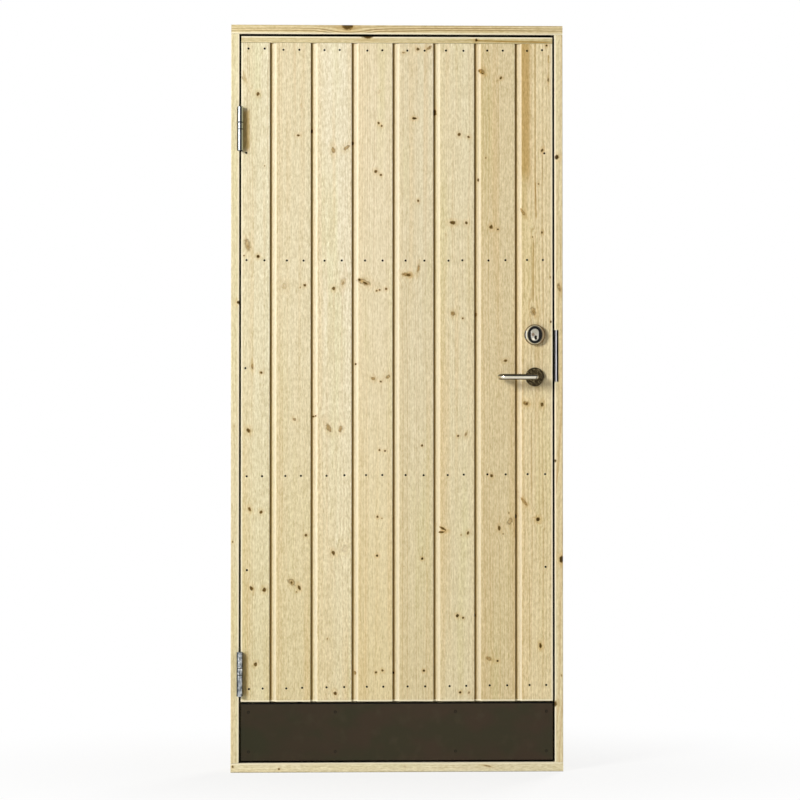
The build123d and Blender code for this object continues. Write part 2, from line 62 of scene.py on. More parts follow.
# Places on the door, from the frame
LEAF_EDGE, FRONT, BOARD_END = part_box("board_1")[0]
JAMB_FACE, _, THRESHOLD_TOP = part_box("lock_jamb")[0]
STRIKE_LOW, STRIKE_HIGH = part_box("strike_plate")
LOCK_LOW, LOCK_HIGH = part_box("lock_case")
KICK_LOW, KICK_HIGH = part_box("kick_board")

WHITE = (1.0, 1.0, 1.0, 1.0)


def middle_of(node):
    """The middle of a CAD node's box."""
    return [(low + high) / 2 for low, high in zip(*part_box(node))]


def from_pixel(x, y):
    """A place on the door's front plane, across and up, in metres."""
    share = (y - MIDDLE_ROW) / HALF_ROWS
    row = y + BEND[0] + BEND[1] * share + BEND[2] * share * share
    return (x - PIXEL_X0) * METRES_PER_PIXEL, (PIXEL_Z0 - row) * METRES_PER_PIXEL


def srgb(r, g, b):
    """A linear colour from the 0 to 255 values of a screen colour."""
    out = []
    for value in (r, g, b):
        c = value / 255.0
        out.append(c / 12.92 if c <= 0.04045 else ((c + 0.055) / 1.055) ** 2.4)
    return (*out, 1.0)


# Shader nodes
class Graph:
    """Short ways to add nodes to one node tree."""

    def __init__(self, tree):
        self.tree = tree

    def feed(self, socket, value):
        if isinstance(value, bpy.types.NodeSocket):
            self.tree.links.new(value, socket)
        else:
            socket.default_value = value

    def new(self, kind, **settings):
        node = self.tree.nodes.new(kind)
        for key, value in settings.items():
            setattr(node, key, value)
        return node

    def math(self, operation, *values, clamp=False):
        node = self.new("ShaderNodeMath", operation=operation, use_clamp=clamp)
        for socket, value in zip(node.inputs, values):
            self.feed(socket, value)
        return node.outputs[0]

    def times(self, first, second, clamp=False):
        return self.math("MULTIPLY", first, second, clamp=clamp)

    def plus(self, first, second):
        return self.math("ADD", first, second)

    def minus(self, first, second, clamp=False):
        return self.math("SUBTRACT", first, second, clamp=clamp)

    def larger(self, first, second):
        return self.math("MAXIMUM", first, second)

    def vector(self, operation, *values):
        node = self.new("ShaderNodeVectorMath", operation=operation)
        for socket, value in zip(node.inputs, values):
            self.feed(socket, value)
        if operation == "SCALE":
            self.feed(node.inputs["Scale"], values[1])
        return node.outputs["Value" if operation in ("LENGTH", "DOT_PRODUCT") else "Vector"]

    def split(self, vector):
        node = self.new("ShaderNodeSeparateXYZ")
        self.feed(node.inputs[0], vector)
        return node.outputs[0], node.outputs[1], node.outputs[2]

    def join(self, x, y, z):
        node = self.new("ShaderNodeCombineXYZ")
        for socket, value in zip(node.inputs, (x, y, z)):
            self.feed(socket, value)
        return node.outputs[0]

    def range(self, value, low, high, to_low=0.0, to_high=1.0, smooth=True):
        node = self.new("ShaderNodeMapRange", interpolation_type="SMOOTHSTEP" if smooth else "LINEAR")
        for socket, entry in zip(node.inputs, (value, low, high, to_low, to_high)):
            self.feed(socket, entry)
        return node.outputs[0]

    def noise(self, vector, scale=1.0, detail=2.0, roughness=0.5):
        node = self.new("ShaderNodeTexNoise", noise_dimensions="3D")
        self.feed(node.inputs["Vector"], vector)
        node.inputs["Scale"].default_value = scale
        node.inputs["Detail"].default_value = detail
        node.inputs["Roughness"].default_value = roughness
        return node.outputs[0]

    def stretched(self, vector, stretch, detail=2.0, roughness=0.5):
        """Noise with its own scale along each axis."""
        return self.noise(self.vector("MULTIPLY", vector, stretch), 1.0, detail, roughness)

    def ramp(self, value, stops):
        node = self.new("ShaderNodeValToRGB")
        elements = node.color_ramp.elements
        while len(elements) < len(stops):
            elements.new(0.5)
        for element, (position, colour) in zip(elements, stops):
            element.position = position
            element.color = colour if isinstance(colour, tuple) else (colour, colour, colour, 1.0)
        self.feed(node.inputs[0], value)
        return node.outputs[0]

    def mix(self, factor, first, second, blend="MIX"):
        node = self.new("ShaderNodeMix", data_type="RGBA", blend_type=blend)
        self.feed(node.inputs["Factor"], factor)
        self.feed(node.inputs[6], first)
        self.feed(node.inputs[7], second)
        return node.outputs[2]

    def bump(self, height, strength, distance):
        node = self.new("ShaderNodeBump")
        node.inputs["Strength"].default_value = strength
        node.inputs["Distance"].default_value = distance
        self.feed(node.inputs["Height"], height)
        return node.outputs[0]


def emptied(owner):
    """The graph of a material or a world, with no nodes in it."""
    owner.use_nodes = True
    owner.node_tree.nodes.clear()
    return Graph(owner.node_tree)


def new_material(name):
    """A node material, its graph and its shader."""
    material = bpy.data.materials.new(name)
    graph = emptied(material)
    shader = graph.new("ShaderNodeBsdfPrincipled")
    graph.feed(graph.new("ShaderNodeOutputMaterial").inputs[0], shader.outputs[0])
    return material, graph, shader


def object_place(graph):
    """Each point's place in the object's own frame, so that the grain goes with a moving piece."""
    return graph.new("ShaderNodeTexCoord").outputs["Object"]


def object_normal(graph):
    """Each point's direction outwards, in the object's own frame."""
    return graph.new("ShaderNodeTexCoord").outputs["Normal"]


def new_group(name, inputs, outputs):
    """An empty node group: its graph, what it is given and what results from it."""
    tree = bpy.data.node_groups.new(name, "ShaderNodeTree")
    for label, kind in inputs:
        tree.interface.new_socket(label, in_out="INPUT", socket_type=kind)
    for label, kind in outputs:
        tree.interface.new_socket(label, in_out="OUTPUT", socket_type=kind)
    graph = Graph(tree)
    return graph, graph.new("NodeGroupInput").outputs, graph.new("NodeGroupOutput").inputs


VEC = "NodeSocketVector"
NUM = "NodeSocketFloat"
COL = "NodeSocketColor"


def build_knot_group():
    """One knot: it pushes the grain aside and adds to the masks of the knots before it."""
    g, given, result = new_group(
        "knot",
        [("Place", VEC), ("Wobble", NUM), ("Sum", VEC), ("Most", VEC),
         ("Centre", VEC), ("Across", VEC), ("Along", VEC), ("Tone", NUM), ("Rim", NUM)],
        [("Sum", VEC), ("Most", VEC)],
    )
    offset = g.vector("SUBTRACT", given["Place"], given["Centre"])
    a = g.vector("DOT_PRODUCT", offset, given["Across"])
    b = g.vector("DOT_PRODUCT", offset, given["Along"])
    q = g.vector("LENGTH", g.join(a, b, 0.0))
    q = g.plus(q, given["Wobble"])
    core = g.range(q, 1.22, 0.55)
    rim = g.minus(core, g.range(q, 0.85, 0.40))
    halo = g.range(q, 3.2, 0.8)
    wide = g.vector("LENGTH", g.join(g.times(a, 0.30), g.times(b, 0.15), 0.0))
    push = g.times(g.range(wide, 1.0, 0.0), g.split(offset)[0])
    push = g.times(push, -0.9)
    tone = given["Tone"]
    added = g.join(push, g.times(halo, tone), 0.0)
    masks = g.join(g.times(core, tone), g.times(rim, given["Rim"]), core)
    g.feed(result["Sum"], g.vector("ADD", given["Sum"], added))
    g.feed(result["Most"], g.vector("MAXIMUM", given["Most"], masks))
    return g.tree


def build_streak_group():
    """One long stain, brown grain line or painted hinge shadow, with soft ends."""
    g, given, result = new_group(
        "streak",
        [("Place", VEC), ("Wobble", NUM), ("Stain", NUM),
         ("Centre", VEC), ("Across", VEC), ("Along", VEC), ("Tone", NUM)],
        [("Stain", NUM)],
    )
    offset = g.vector("SUBTRACT", given["Place"], given["Centre"])
    sway = g.times(given["Wobble"], 0.3)
    a = g.math("ABSOLUTE", g.plus(g.vector("DOT_PRODUCT", offset, given["Across"]), sway))
    b = g.math("ABSOLUTE", g.vector("DOT_PRODUCT", offset, given["Along"]))
    mask = g.times(g.range(a, 1.2, 0.4), g.range(b, 1.05, 0.75))
    mask = g.times(mask, given["Tone"])
    g.feed(result["Stain"], g.larger(given["Stain"], mask))
    return g.tree


# How dark the wood is through one year's ring
YEAR = [(0.0, 0.0), (0.35, 0.12), (0.80, 0.95), (0.90, 0.75), (1.0, 0.0)]
# Tints that multiply the wood's colour
WARM_TINT = (0.95, 0.85, 0.70, 1.0)
COOL_TINT = (0.94, 0.96, 0.84, 1.0)
SIDE_TINT = (0.965, 0.92, 0.84, 1.0)
AGE_TINT = (0.965, 0.935, 0.80, 1.0)
HALO_TINT = (0.84, 0.66, 0.36, 1.0)
# Real stains, and the painted shadows of the hinges
STAIN_AND_SHADOW_TINT = (0.64, 0.49, 0.24, 1.0)
# Painted shade in the corner of each groove
GROOVE_SHADE_TINT = (0.40, 0.28, 0.08, 1.0)
# Colours that cover it
KNOT_DARK = srgb(126, 88, 22)
KNOT_LIGHT = srgb(200, 162, 92)
KNOT_HEART = srgb(64, 45, 6)
KNOT_RIM = srgb(94, 65, 14)
# Painted highlights: the groove's bevel and shoulder, and the pale edges
PAINTED_BEVEL_HIGHLIGHT = srgb(238, 232, 212)
PAINTED_SHOULDER_HIGHLIGHT = srgb(228, 216, 184)
PAINTED_ARRIS_HIGHLIGHT = srgb(253, 244, 214)
# Painted shade in the strike's slot
SLOT_SHADE_BLACK = srgb(22, 12, 3)
# Painted shade, near black, deep in narrow gaps
GAP_SHADE_BLACK = (0.02, 0.016, 0.01, 1.0)
# Depths over which each part of a groove fades in and out
FLOOR_IN, FLOOR_OUT = (-0.04016, -0.03986), (-0.0376, -0.0386)
BEVEL_IN, BEVEL_OUT = (-0.0458, -0.0450), (-0.0402, -0.0408)
SHOULDER_IN, SHOULDER_OUT = (-0.0408, -0.0404), (-0.0380, -0.0390)
# Painted highlights along edges fade out away from the edge; the painted shade in the strike's slot has an
# edge of its own
ARRIS_HIGHLIGHT_FADE = (0.0050, 0.0026)
SLOT_IN = (FRONT + 0.0004, FRONT + 0.0010)
SLOT_EDGE = 0.0003
GAP_REACH = 0.030


def build_pine_group():
    """Solid pine: growth rings round a wandering pith, fibre, broad tints, knots, stains and painted
    shadows, with painted shade in the groove corners and painted highlights on the groove bevels and
    shoulders.
    """
    g, given, result = new_group(
        "pine",
        [("Place", VEC), ("Sum", VEC), ("Most", VEC), ("Stain", NUM), ("Middle", VEC), ("Pith", VEC),
         ("Lean", NUM), ("Wander", NUM), ("Seed", NUM), ("Spacing", NUM), ("Contrast", NUM),
         ("Speckle", NUM), ("Side", NUM), ("Yellow", NUM), ("Light", COL), ("Dark", COL)],
        [("Color", COL), ("Roughness", NUM), ("Height", NUM)],
    )
    place = given["Place"]
    shift, halo, _ = g.split(given["Sum"])
    tone, rim, _ = g.split(given["Most"])
    seed = given["Seed"]
    seeded = g.vector("ADD", place, g.join(seed, seed, seed))
    local = g.vector("SUBTRACT", place, given["Middle"])
    u, v, w = g.split(local)
    u = g.plus(u, shift)
    slow = g.stretched(seeded, (0.6, 0.6, 1.5), 1)
    slow_two = g.stretched(seeded, (0.5, 0.5, 2.3), 1)
    pith_u, pith_v, _ = g.split(given["Pith"])
    du = g.minus(u, pith_u)
    wander = given["Wander"]
    du = g.plus(du, g.times(g.minus(slow, 0.5), wander))
    dv = g.minus(v, pith_v)
    dv = g.plus(dv, g.times(w, given["Lean"]))
    dv = g.plus(dv, g.times(g.minus(slow_two, 0.5), wander))
    r = g.vector("LENGTH", g.join(du, dv, 0.0))
    warp = g.stretched(seeded, (26, 26, 3.4), 3)
    r = g.plus(r, g.times(g.minus(warp, 0.5), 0.0045))
    phase = g.math("DIVIDE", r, given["Spacing"])
    late = g.ramp(g.math("FRACT", phase), YEAR)
    year = g.noise(g.join(g.math("FLOOR", phase), seed, 0.0), 0.73, 0.0)
    late = g.times(late, g.range(year, 0.30, 0.70, 0.25, 1.25, smooth=False))
    patch = g.stretched(seeded, (9, 9, 1.3), 1)
    late = g.times(late, g.range(patch, 0.30, 0.72, 0.35, 1.2, smooth=False))
    fibre = g.stretched(seeded, (560, 560, 34), 3, 0.6)
    mottle = g.stretched(seeded, (290, 290, 92), 3, 0.65)
    stripe = g.stretched(seeded, (150, 150, 1.6), 2)
    tint = g.stretched(seeded, (40, 40, 0.8), 2)
    tint_two = g.stretched(seeded, (22, 22, 1.5), 2)

    grain = g.times(late, given["Contrast"], clamp=True)
    colour = g.mix(grain, given["Light"], given["Dark"])
    colour = g.mix(g.range(tint, 0.48, 0.74, 0.0, 0.55), colour, WARM_TINT, "MULTIPLY")
    colour = g.mix(g.range(tint_two, 0.50, 0.26, 0.0, 0.60), colour, COOL_TINT, "MULTIPLY")
    side = g.times(u, given["Side"])
    colour = g.mix(g.range(side, 0.1, -0.9, 0.0, 0.9), colour, SIDE_TINT, "MULTIPLY")
    low_down = g.range(g.split(place)[2], 1.45, 0.15, 0.0, given["Yellow"])
    colour = g.mix(low_down, colour, AGE_TINT, "MULTIPLY")
    shade = g.plus(g.range(fibre, 0.25, 0.75, -0.11, 0.11, smooth=False),
                   g.times(g.minus(mottle, 0.5), given["Speckle"]))
    shade = g.plus(shade, g.range(stripe, 0.25, 0.75, 0.955, 1.045, smooth=False))
    outward = g.split(object_normal(g))[1]
    fleck = g.times(g.minus(shade, 1.0), g.range(outward, 0.4, -0.4, 0.5, 1.0))
    shade = g.plus(fleck, 1.0)
    reddish = g.math("MULTIPLY_ADD", fleck, 0.85, 1.0)
    bluish = g.math("MULTIPLY_ADD", fleck, 1.5, 1.0)
    colour = g.mix(1.0, colour, g.join(reddish, shade, bluish), "MULTIPLY")

    halo_tint = g.times(halo, 0.42, clamp=True)
    colour = g.mix(halo_tint, colour, HALO_TINT, "MULTIPLY")
    stain_and_shadow = given["Stain"]
    colour = g.mix(stain_and_shadow, colour, STAIN_AND_SHADOW_TINT, "MULTIPLY")
    knot_grain = g.stretched(seeded, (330, 330, 260), 2, 0.6)
    wood_knot = g.mix(g.range(knot_grain, 0.38, 0.62, 0.0, 1.0), KNOT_DARK, KNOT_LIGHT)
    heart = g.mix(g.range(tone, 0.35, 0.90), wood_knot, KNOT_HEART)
    cover = g.range(tone, 0.0, 0.75, 0.0, 0.97)
    colour = g.mix(cover, colour, heart)
    colour = g.mix(g.times(rim, 0.85, clamp=True), colour, KNOT_RIM)
    depth = g.split(place)[1]
    faces = g.range(outward, -0.80, -0.95)
    # Painted shade along each groove floor beside its wall, where the wall's shadow falls
    groove_shade = g.times(g.range(depth, *FLOOR_IN), g.range(depth, *FLOOR_OUT))
    groove_shade = g.times(groove_shade, g.times(faces, g.range(mottle, 0.2, 0.8, 0.66, 0.90, smooth=False)))
    # Painted highlight on each groove's bevel and shoulder, where the light falls
    bevel_highlight = g.times(g.range(depth, *BEVEL_IN), g.range(depth, *BEVEL_OUT))
    clear = g.range(tone, 0.30, 0.08)
    colour = g.mix(g.times(bevel_highlight, g.times(clear, 0.50)), colour, PAINTED_BEVEL_HIGHLIGHT)
    shoulder_highlight = g.times(g.range(depth, *SHOULDER_IN), faces)
    shoulder_highlight = g.times(shoulder_highlight, g.range(depth, *SHOULDER_OUT))
    shoulder_highlight = g.times(shoulder_highlight, g.times(clear, 0.22))
    colour = g.mix(shoulder_highlight, colour, PAINTED_SHOULDER_HIGHLIGHT)
    colour = g.mix(groove_shade, colour, GROOVE_SHADE_TINT, "MULTIPLY")
    g.feed(result["Color"], colour)
    rough = g.range(fibre, 0.3, 0.7, 0.60, 0.74, smooth=False)
    g.feed(result["Roughness"], rough)
    plane_marks = g.stretched(seeded, (14, 14, 90), 1)
    height = g.plus(fibre, g.times(plane_marks, 0.8))
    g.feed(result["Height"], height)
    return g.tree


KNOT_GROUP = build_knot_group()
STREAK_GROUP = build_streak_group()
PINE_GROUP = build_pine_group()

# Kinds of knot: how dark it is, and how dark its rim
DARK = (1.00, 0.5)
BROWN = (0.74, 0.55)
ORANGE = (0.56, 0.30)
CHESTNUT = (0.78, 0.20)
LIGHT = (0.50, 0.46)
RING = (0.32, 0.78)
FAINT = (0.26, 0.16)


def group_node(graph, tree, **values):
    node = graph.new("ShaderNodeGroup", node_tree=tree)
    for key, value in values.items():
        graph.feed(node.inputs[key], value)
    return node


def ellipse(along_x, px, py, wide, high, angle=0):
    """Centre and the two scaled axes of a knot or streak; angle turns its length from the grain."""
    place = from_pixel(px, py)
    across = wide * METRES_PER_PIXEL / 2
    along = high * METRES_PER_PIXEL / 2
    if along_x:
        place = place[::-1]
        across, along = along, across
    elif wide < high:
        angle = -angle
    c = math.cos(math.radians(angle))
    s = math.sin(math.radians(angle))
    return {
        "Centre": (place[0], 0.0, place[1]),
        "Across": (c / across, 0.0, -s / across),
        "Along": (s / along, 0.0, c / along),
    }


def painted_gap_shade(graph):
    """1 deep in a narrow gap, 0 in the open: painted shade where two pieces nearly meet."""
    closed = graph.new("ShaderNodeAmbientOcclusion", samples=6)
    closed.inputs["Distance"].default_value = GAP_REACH
    return graph.range(closed.outputs["AO"], 0.42, 0.16)


def pine(node, along_x, seed, light, dark, pith, lean=0.0, spacing=0.0045, contrast=0.35,
         knots=(), streaks=(), wander=0.012, speckle=0.5, side=0.0, arrises=(), yellowing=0.0,
         knot_reach=0.0, slot=None):
    """A CAD node takes pine of its own, with its length along X or Z.
    Knots and streaks are given in pixels of the photograph.
    Arrises are the edges with a painted highlight: the axis, where the edge lies and which way the wood
    lies from it.
    A slot is a hollow in the front face, painted black as shade, given by its reach across and up."""
    material, g, shader = new_material(f"pine_{node}")
    middle = middle_of(node)
    place = object_place(g)
    x, y, z = g.split(place)
    if along_x:
        middle = middle[::-1]
        place = g.join(z, y, x)
    wobble = g.stretched(place, (170, 170, 130))
    wobble = g.times(g.minus(wobble, 0.5), 1.1)
    flat = g.vector("MULTIPLY", place, (1.0, 0.0, 1.0))
    total = (0.0, 0.0, 0.0)
    most = (0.0, 0.0, 0.0)
    for *shape, (tone, rim) in knots:
        knot = group_node(g, KNOT_GROUP, Place=flat, Wobble=wobble, Sum=total, Most=most,
                          Tone=tone, Rim=rim, **ellipse(along_x, *shape))
        total, most = knot.outputs["Sum"], knot.outputs["Most"]
    if knots and knot_reach:
        deep = g.plus(y, g.times(wobble, 0.012))
        left = g.range(deep, FRONT + knot_reach, FRONT + 0.6 * knot_reach)
        total = g.vector("SCALE", total, left)
        most = g.vector("SCALE", most, left)
    stain_and_shadow = 0.0
    for *shape, tone in streaks:
        streak = group_node(g, STREAK_GROUP, Place=flat, Wobble=wobble, Stain=stain_and_shadow, Tone=tone,
                            **ellipse(along_x, *shape))
        stain_and_shadow = streak.outputs["Stain"]
    wood = group_node(
        g, PINE_GROUP, Place=place, Sum=total, Most=most, Stain=stain_and_shadow, Middle=middle, Pith=(*pith, 0.0),
        Lean=lean, Wander=wander, Seed=seed, Spacing=spacing, Contrast=contrast, Speckle=speckle,
        Side=side, Yellow=yellowing, Light=srgb(*light), Dark=srgb(*dark),
    )
    colour = wood.outputs["Color"]
    # Painted highlight along the given edges, as if they caught the light
    if arrises:
        pale = 0.0
        for axis, edge, inward in arrises:
            away = g.times(g.minus(x if axis == "x" else z, edge), inward)
            pale = g.larger(pale, g.range(away, *ARRIS_HIGHLIGHT_FADE))
        if knots:
            pale = g.times(pale, g.minus(1.0, g.split(most)[2], clamp=True))
        colour = g.mix(g.times(pale, 0.85), colour, PAINTED_ARRIS_HIGHLIGHT)
    # Painted shade: the hollow of the strike's slot is painted black
    if slot:
        within = g.range(y, *SLOT_IN)
        for value, (low, high) in zip((x, z), slot):
            within = g.times(within, g.range(value, low - SLOT_EDGE, low))
            within = g.times(within, g.range(value, high + SLOT_EDGE, high))
        colour = g.mix(within, colour, SLOT_SHADE_BLACK)
    # Narrow gaps take painted shade, near black
    g.feed(shader.inputs["Base Color"], g.mix(painted_gap_shade(g), colour, GAP_SHADE_BLACK))
    g.feed(shader.inputs["Roughness"], wood.outputs["Roughness"])
    g.feed(shader.inputs["Normal"], g.bump(wood.outputs["Height"], 0.35, 0.0003))
    shader.inputs["Specular IOR Level"].default_value = 0.10
    paint(node, material)


def paint(node, material):
    """A CAD node takes a new material."""
    mesh = nodes[node].data
    if len(mesh.materials) == 0:
        mesh.materials.append(material)
    for index in range(len(mesh.materials)):
        mesh.materials[index] = material


# Boards
# Each knot: x, y, width, height in pixels of the photograph, turn in degrees unless it is 0, kind
BOARD_KNOTS = {
    1: [
        (258, 94, 3.6, 4.4, -20, BROWN), (244, 79, 4, 7, 25, FAINT), (250.8, 88.6, 1.5, 2.5, FAINT),
        (247.6, 244.5, 5.6, 13, 12, RING), (248.2, 246.5, 2.6, 6, 12, LIGHT),
        (258.4, 256.2, 3.4, 3.6, DARK), (244.1, 255.6, 1.4, 1.6, BROWN),
        (252.4, 366.2, 2.6, 6.6, 5, ORANGE), (261.5, 372.3, 2.8, 2.8, BROWN),
        (248.4, 429.8, 4.2, 5.4, 20, BROWN), (249.9, 508.9, 3.2, 5.2, 20, BROWN),
        (261.2, 511.4, 3.2, 3.8, -25, BROWN), (251.7, 587.8, 3.4, 5, 20, BROWN),
        (264.7, 589.2, 4.4, 4.6, -35, BROWN), (256, 663.9, 3.4, 4.4, -30, BROWN),
        (264.6, 166, 1.4, 1.6, ORANGE),
    ],
    2: [
        (298, 135.3, 3.4, 2.6, BROWN), (301.2, 105.5, 2, 6, FAINT), (304.6, 285, 2.8, 3, -20, BROWN),
        (300.3, 287, 1.7, 1.8, ORANGE), (294.5, 418.9, 4.4, 3, 35, LIGHT),
        (306.1, 534.9, 2.8, 3, -20, BROWN), (291.8, 581.9, 9, 5.4, 42, RING),
        (291.6, 582.2, 2.6, 3, BROWN), (299.4, 587.3, 3, 5.4, 18, BROWN),
        (296.7, 591.6, 1.5, 1.7, ORANGE), (284, 286, 6, 8, FAINT),
    ],
    3: [
        (333.2, 149.8, 4.4, 7, 5, LIGHT), (346.5, 147.5, 7.6, 3.6, -42, LIGHT),
        (333.3, 288.2, 3.4, 4.2, 25, BROWN), (343.3, 281.6, 6, 10, -15, FAINT),
        (343, 283, 2.6, 4.5, -15, LIGHT), (328.6, 427.6, 4.6, 10, 30, LIGHT),
        (340.6, 428.6, 4, 7, -18, LIGHT), (333.5, 552.6, 3.4, 5.2, 25, BROWN),
        (344.4, 548.2, 6, 9, -25, FAINT), (323.8, 511, 1.5, 2.2, FAINT), (327.6, 638.6, 1.4, 1.8, ORANGE),
        (335.2, 693.3, 3.2, 4.8, 15, BROWN), (313.6, 416.2, 2.6, 2, BROWN),
        (315.6, 415.6, 1.6, 1.8, DARK), (311.5, 131, 3, 4.5, BROWN),
    ],
    4: [
        (378.6, 92.6, 2, 2, FAINT), (379.6, 90.6, 1.6, 1.6, FAINT), (378.5, 123, 2.6, 3, 20, BROWN),
        (381.5, 125.5, 2.4, 2.4, BROWN), (375.8, 171, 3.2, 3.6, 30, BROWN),
        (380.7, 174.5, 2.4, 2.4, BROWN), (363.6, 281.8, 15, 5.6, 18, RING),
        (359.4, 279.6, 3.4, 2.2, 15, DARK), (365, 282.6, 6, 2.4, 24, BROWN),
        (376.6, 290.4, 2.1, 2, BROWN), (379.6, 289.5, 2, 1.8, BROWN), (386.1, 288.6, 3, 2.6, -10, BROWN),
        (372.9, 378.2, 5, 3.4, 25, ORANGE), (380.7, 381.2, 2.2, 2.2, BROWN),
        (387.7, 376.3, 5, 3.6, -35, LIGHT), (379.4, 449.7, 2.2, 2.4, BROWN),
        (384.8, 450.6, 2.4, 2.2, -20, BROWN), (377.4, 516.6, 2.5, 2.5, BROWN),
        (381.8, 518.1, 1.7, 1.7, ORANGE), (376.9, 555.5, 2.8, 2.8, DARK), (376, 672.5, 2.6, 2.4, BROWN),
        (382.5, 670.6, 2.7, 2.8, BROWN), (352.2, 143, 3.4, 4.4, BROWN), (355, 673, 3, 4, LIGHT),
        (355.6, 363.8, 2.2, 2.4, DARK),
    ],
    5: [
        (403.5, 52.5, 3.6, 1.8, ORANGE), (417.8, 49, 3, 3.6, 10, BROWN),
        (429.2, 47.6, 7, 3.4, -35, ORANGE), (414.5, 118, 4.4, 2.8, DARK),
        (418, 200.4, 2.8, 2.8, -15, BROWN), (406.4, 274.1, 10, 4.4, 4, ORANGE),
        (408.2, 274.6, 5, 3, 8, BROWN), (418.3, 267.8, 2.6, 10, -8, LIGHT),
        (421.9, 445.2, 2.4, 2.8, -30, BROWN), (422.1, 558.5, 2.8, 2.8, DARK),
        (403.7, 566.4, 1.6, 1.6, FAINT), (423.7, 670.9, 2.8, 2.6, DARK), (392, 518.4, 2.4, 3, BROWN),
        (393, 672.9, 2.6, 2.8, DARK),
    ],
    6: [
        (459.3, 134, 3.2, 3.8, BROWN), (468.5, 136.5, 3.2, 2.6, BROWN), (452.8, 222.3, 6.8, 4, 5, BROWN),
        (466.3, 222.3, 3.2, 3.4, -20, BROWN), (445.6, 234.2, 1.6, 3.4, FAINT),
        (452.8, 313.1, 5.2, 4.6, 30, ORANGE), (462.8, 317.9, 2, 2, BROWN),
        (458.1, 435.7, 2.4, 2.4, BROWN), (465.8, 434.1, 3, 4.4, -15, LIGHT),
        (442.6, 528.4, 7.6, 2.6, 28, BROWN), (441.4, 532, 6.4, 2.4, -8, BROWN),
        (467.9, 532.9, 3, 4, -20, BROWN), (460.9, 534.9, 1.6, 1.6, ORANGE),
        (457.1, 615.8, 3.4, 3.4, DARK), (462.8, 617.9, 2.3, 2.2, BROWN), (460, 692.8, 2.6, 2.6, DARK),
        (468.7, 692.8, 2.4, 2.8, -20, LIGHT), (434.6, 112, 4.6, 7, BROWN),
    ],
    7: [
        (481.8, 70.8, 7.8, 5, 28, ORANGE), (479.4, 70.3, 1.8, 1.8, DARK),
        (482.6, 73, 4.4, 1.7, 25, BROWN), (501, 77.3, 3.2, 3, -20, BROWN), (498, 80, 5, 2, -20, FAINT),
        (478.3, 179.5, 2, 3.4, DARK), (486, 157.4, 1.6, 2.2, ORANGE), (491.3, 226.4, 4.2, 4.4, 10, BROWN),
        (498, 228.8, 2, 2, DARK), (505.4, 360.3, 3.8, 3, -10, BROWN), (491.3, 475.5, 3.2, 4, 20, BROWN),
        (509.9, 521.1, 5, 8, -32, RING), (499.1, 528, 3, 5, 8, BROWN), (502.9, 533.9, 1.6, 1.6, ORANGE),
        (508.8, 512.8, 1.5, 2.4, ORANGE), (488.8, 659.2, 6.4, 4.6, 30, LIGHT),
        (497.5, 661.3, 2.4, 2.2, -15, DARK), (475.4, 314.4, 4, 4.4, LIGHT), (474.5, 615.5, 2.2, 4, DARK),
    ],
    8: [
        (542.5, 149.6, 2.8, 3.8, -20, BROWN), (538.7, 183.3, 1.5, 1.7, BROWN),
        (523, 211.5, 3, 9, 36, LIGHT), (532.7, 236.4, 1.5, 2, ORANGE), (542.2, 231.8, 2.2, 2.4, BROWN),
        (533.2, 310.6, 6, 9.4, 12, RING), (533.4, 311.4, 2.8, 5, 10, ORANGE),
        (526.2, 402.9, 7.2, 5, 18, ORANGE), (527, 403.6, 3.6, 2.4, 12, BROWN),
        (542.1, 404, 3.6, 4.8, BROWN), (524, 501.5, 3, 12, 38, LIGHT), (537.9, 519.3, 4.4, 4.4, DARK),
        (540.3, 645.8, 3.6, 6, BROWN), (540.6, 646.4, 2.2, 3.6, DARK), (515.4, 516.3, 3, 4.4, DARK),
        (546.9, 44.8, 2.2, 2.2, DARK), (548.6, 79.3, 1.5, 5, BROWN), (551, 321.4, 2, 3, BROWN),
        (550.6, 276.6, 1.8, 2.6, ORANGE),
    ],
}
# Each streak: x, y, width, height in pixels of the photograph, turn in degrees unless it is 0, strength
BOARD_STREAKS = {
    1: [
        # The first two streaks here are painted shadows cast by the two hinge barrels
        (246, 130.3, 9, 45, 0.85), (245.8, 674, 7, 46, 0.60), (244.4, 77, 3, 16, 20, 0.35),
        (256, 150, 2, 150, 0.10), (252.4, 361, 1.4, 10, 0.35),
    ],
    2: [
        (301.6, 120, 1.6, 90, 0.12), (300.5, 272, 1.6, 30, 0.18), (282, 460, 4, 180, 0.10),
    ],
    3: [
        (333.4, 300, 1.6, 16, 0.22), (335, 570, 2, 40, 0.14),
    ],
    4: [
        (380.5, 70, 4, 80, 0.10), (381.2, 388.8, 2, 12, 0.22), (380, 140, 2, 40, 0.12),
        (362.5, 450, 3, 40, 0.16),
    ],
    5: [
        (422.4, 552, 1.2, 12, 0.40), (419, 264, 1.6, 12, -6, 0.35), (421, 610, 1.4, 110, 0.16),
        (417, 90, 1.4, 60, 0.10),
    ],
    6: [
        (460.5, 100, 1.6, 110, 0.12), (449, 590, 2.4, 140, 0.12), (462.5, 260, 1.4, 80, 0.12),
    ],
    7: [
        (498.5, 130, 2, 110, 0.16), (514, 527, 1.4, 22, 0.5),
    ],
    8: [
        (525.5, 96, 12.4, 190, 0.80), (524.6, 190, 8, 60, 0.34), (535.4, 110, 1.6, 190, 0.75),
        (548.6, 74, 1.3, 42, 0.60), (548.8, 58.3, 1.3, 9, 1), (542.8, 165, 1.2, 34, 0.40),
        (536, 199, 1.5, 42, 1, 1), (533.4, 270, 1.5, 70, 0.95), (531.6, 455, 1.3, 82, 0.42),
        (529.4, 615, 1.3, 104, 0.48), (521.4, 240, 1.6, 60, 0.40), (520.6, 395, 1.4, 20, 0.3),
        (516, 529, 1.2, 20, 0.5), (528, 420, 1.2, 190, 0.16), (524, 500, 5, 16, 38, 0.25),
        (537, 385, 6, 90, 0.16),
    ],
}
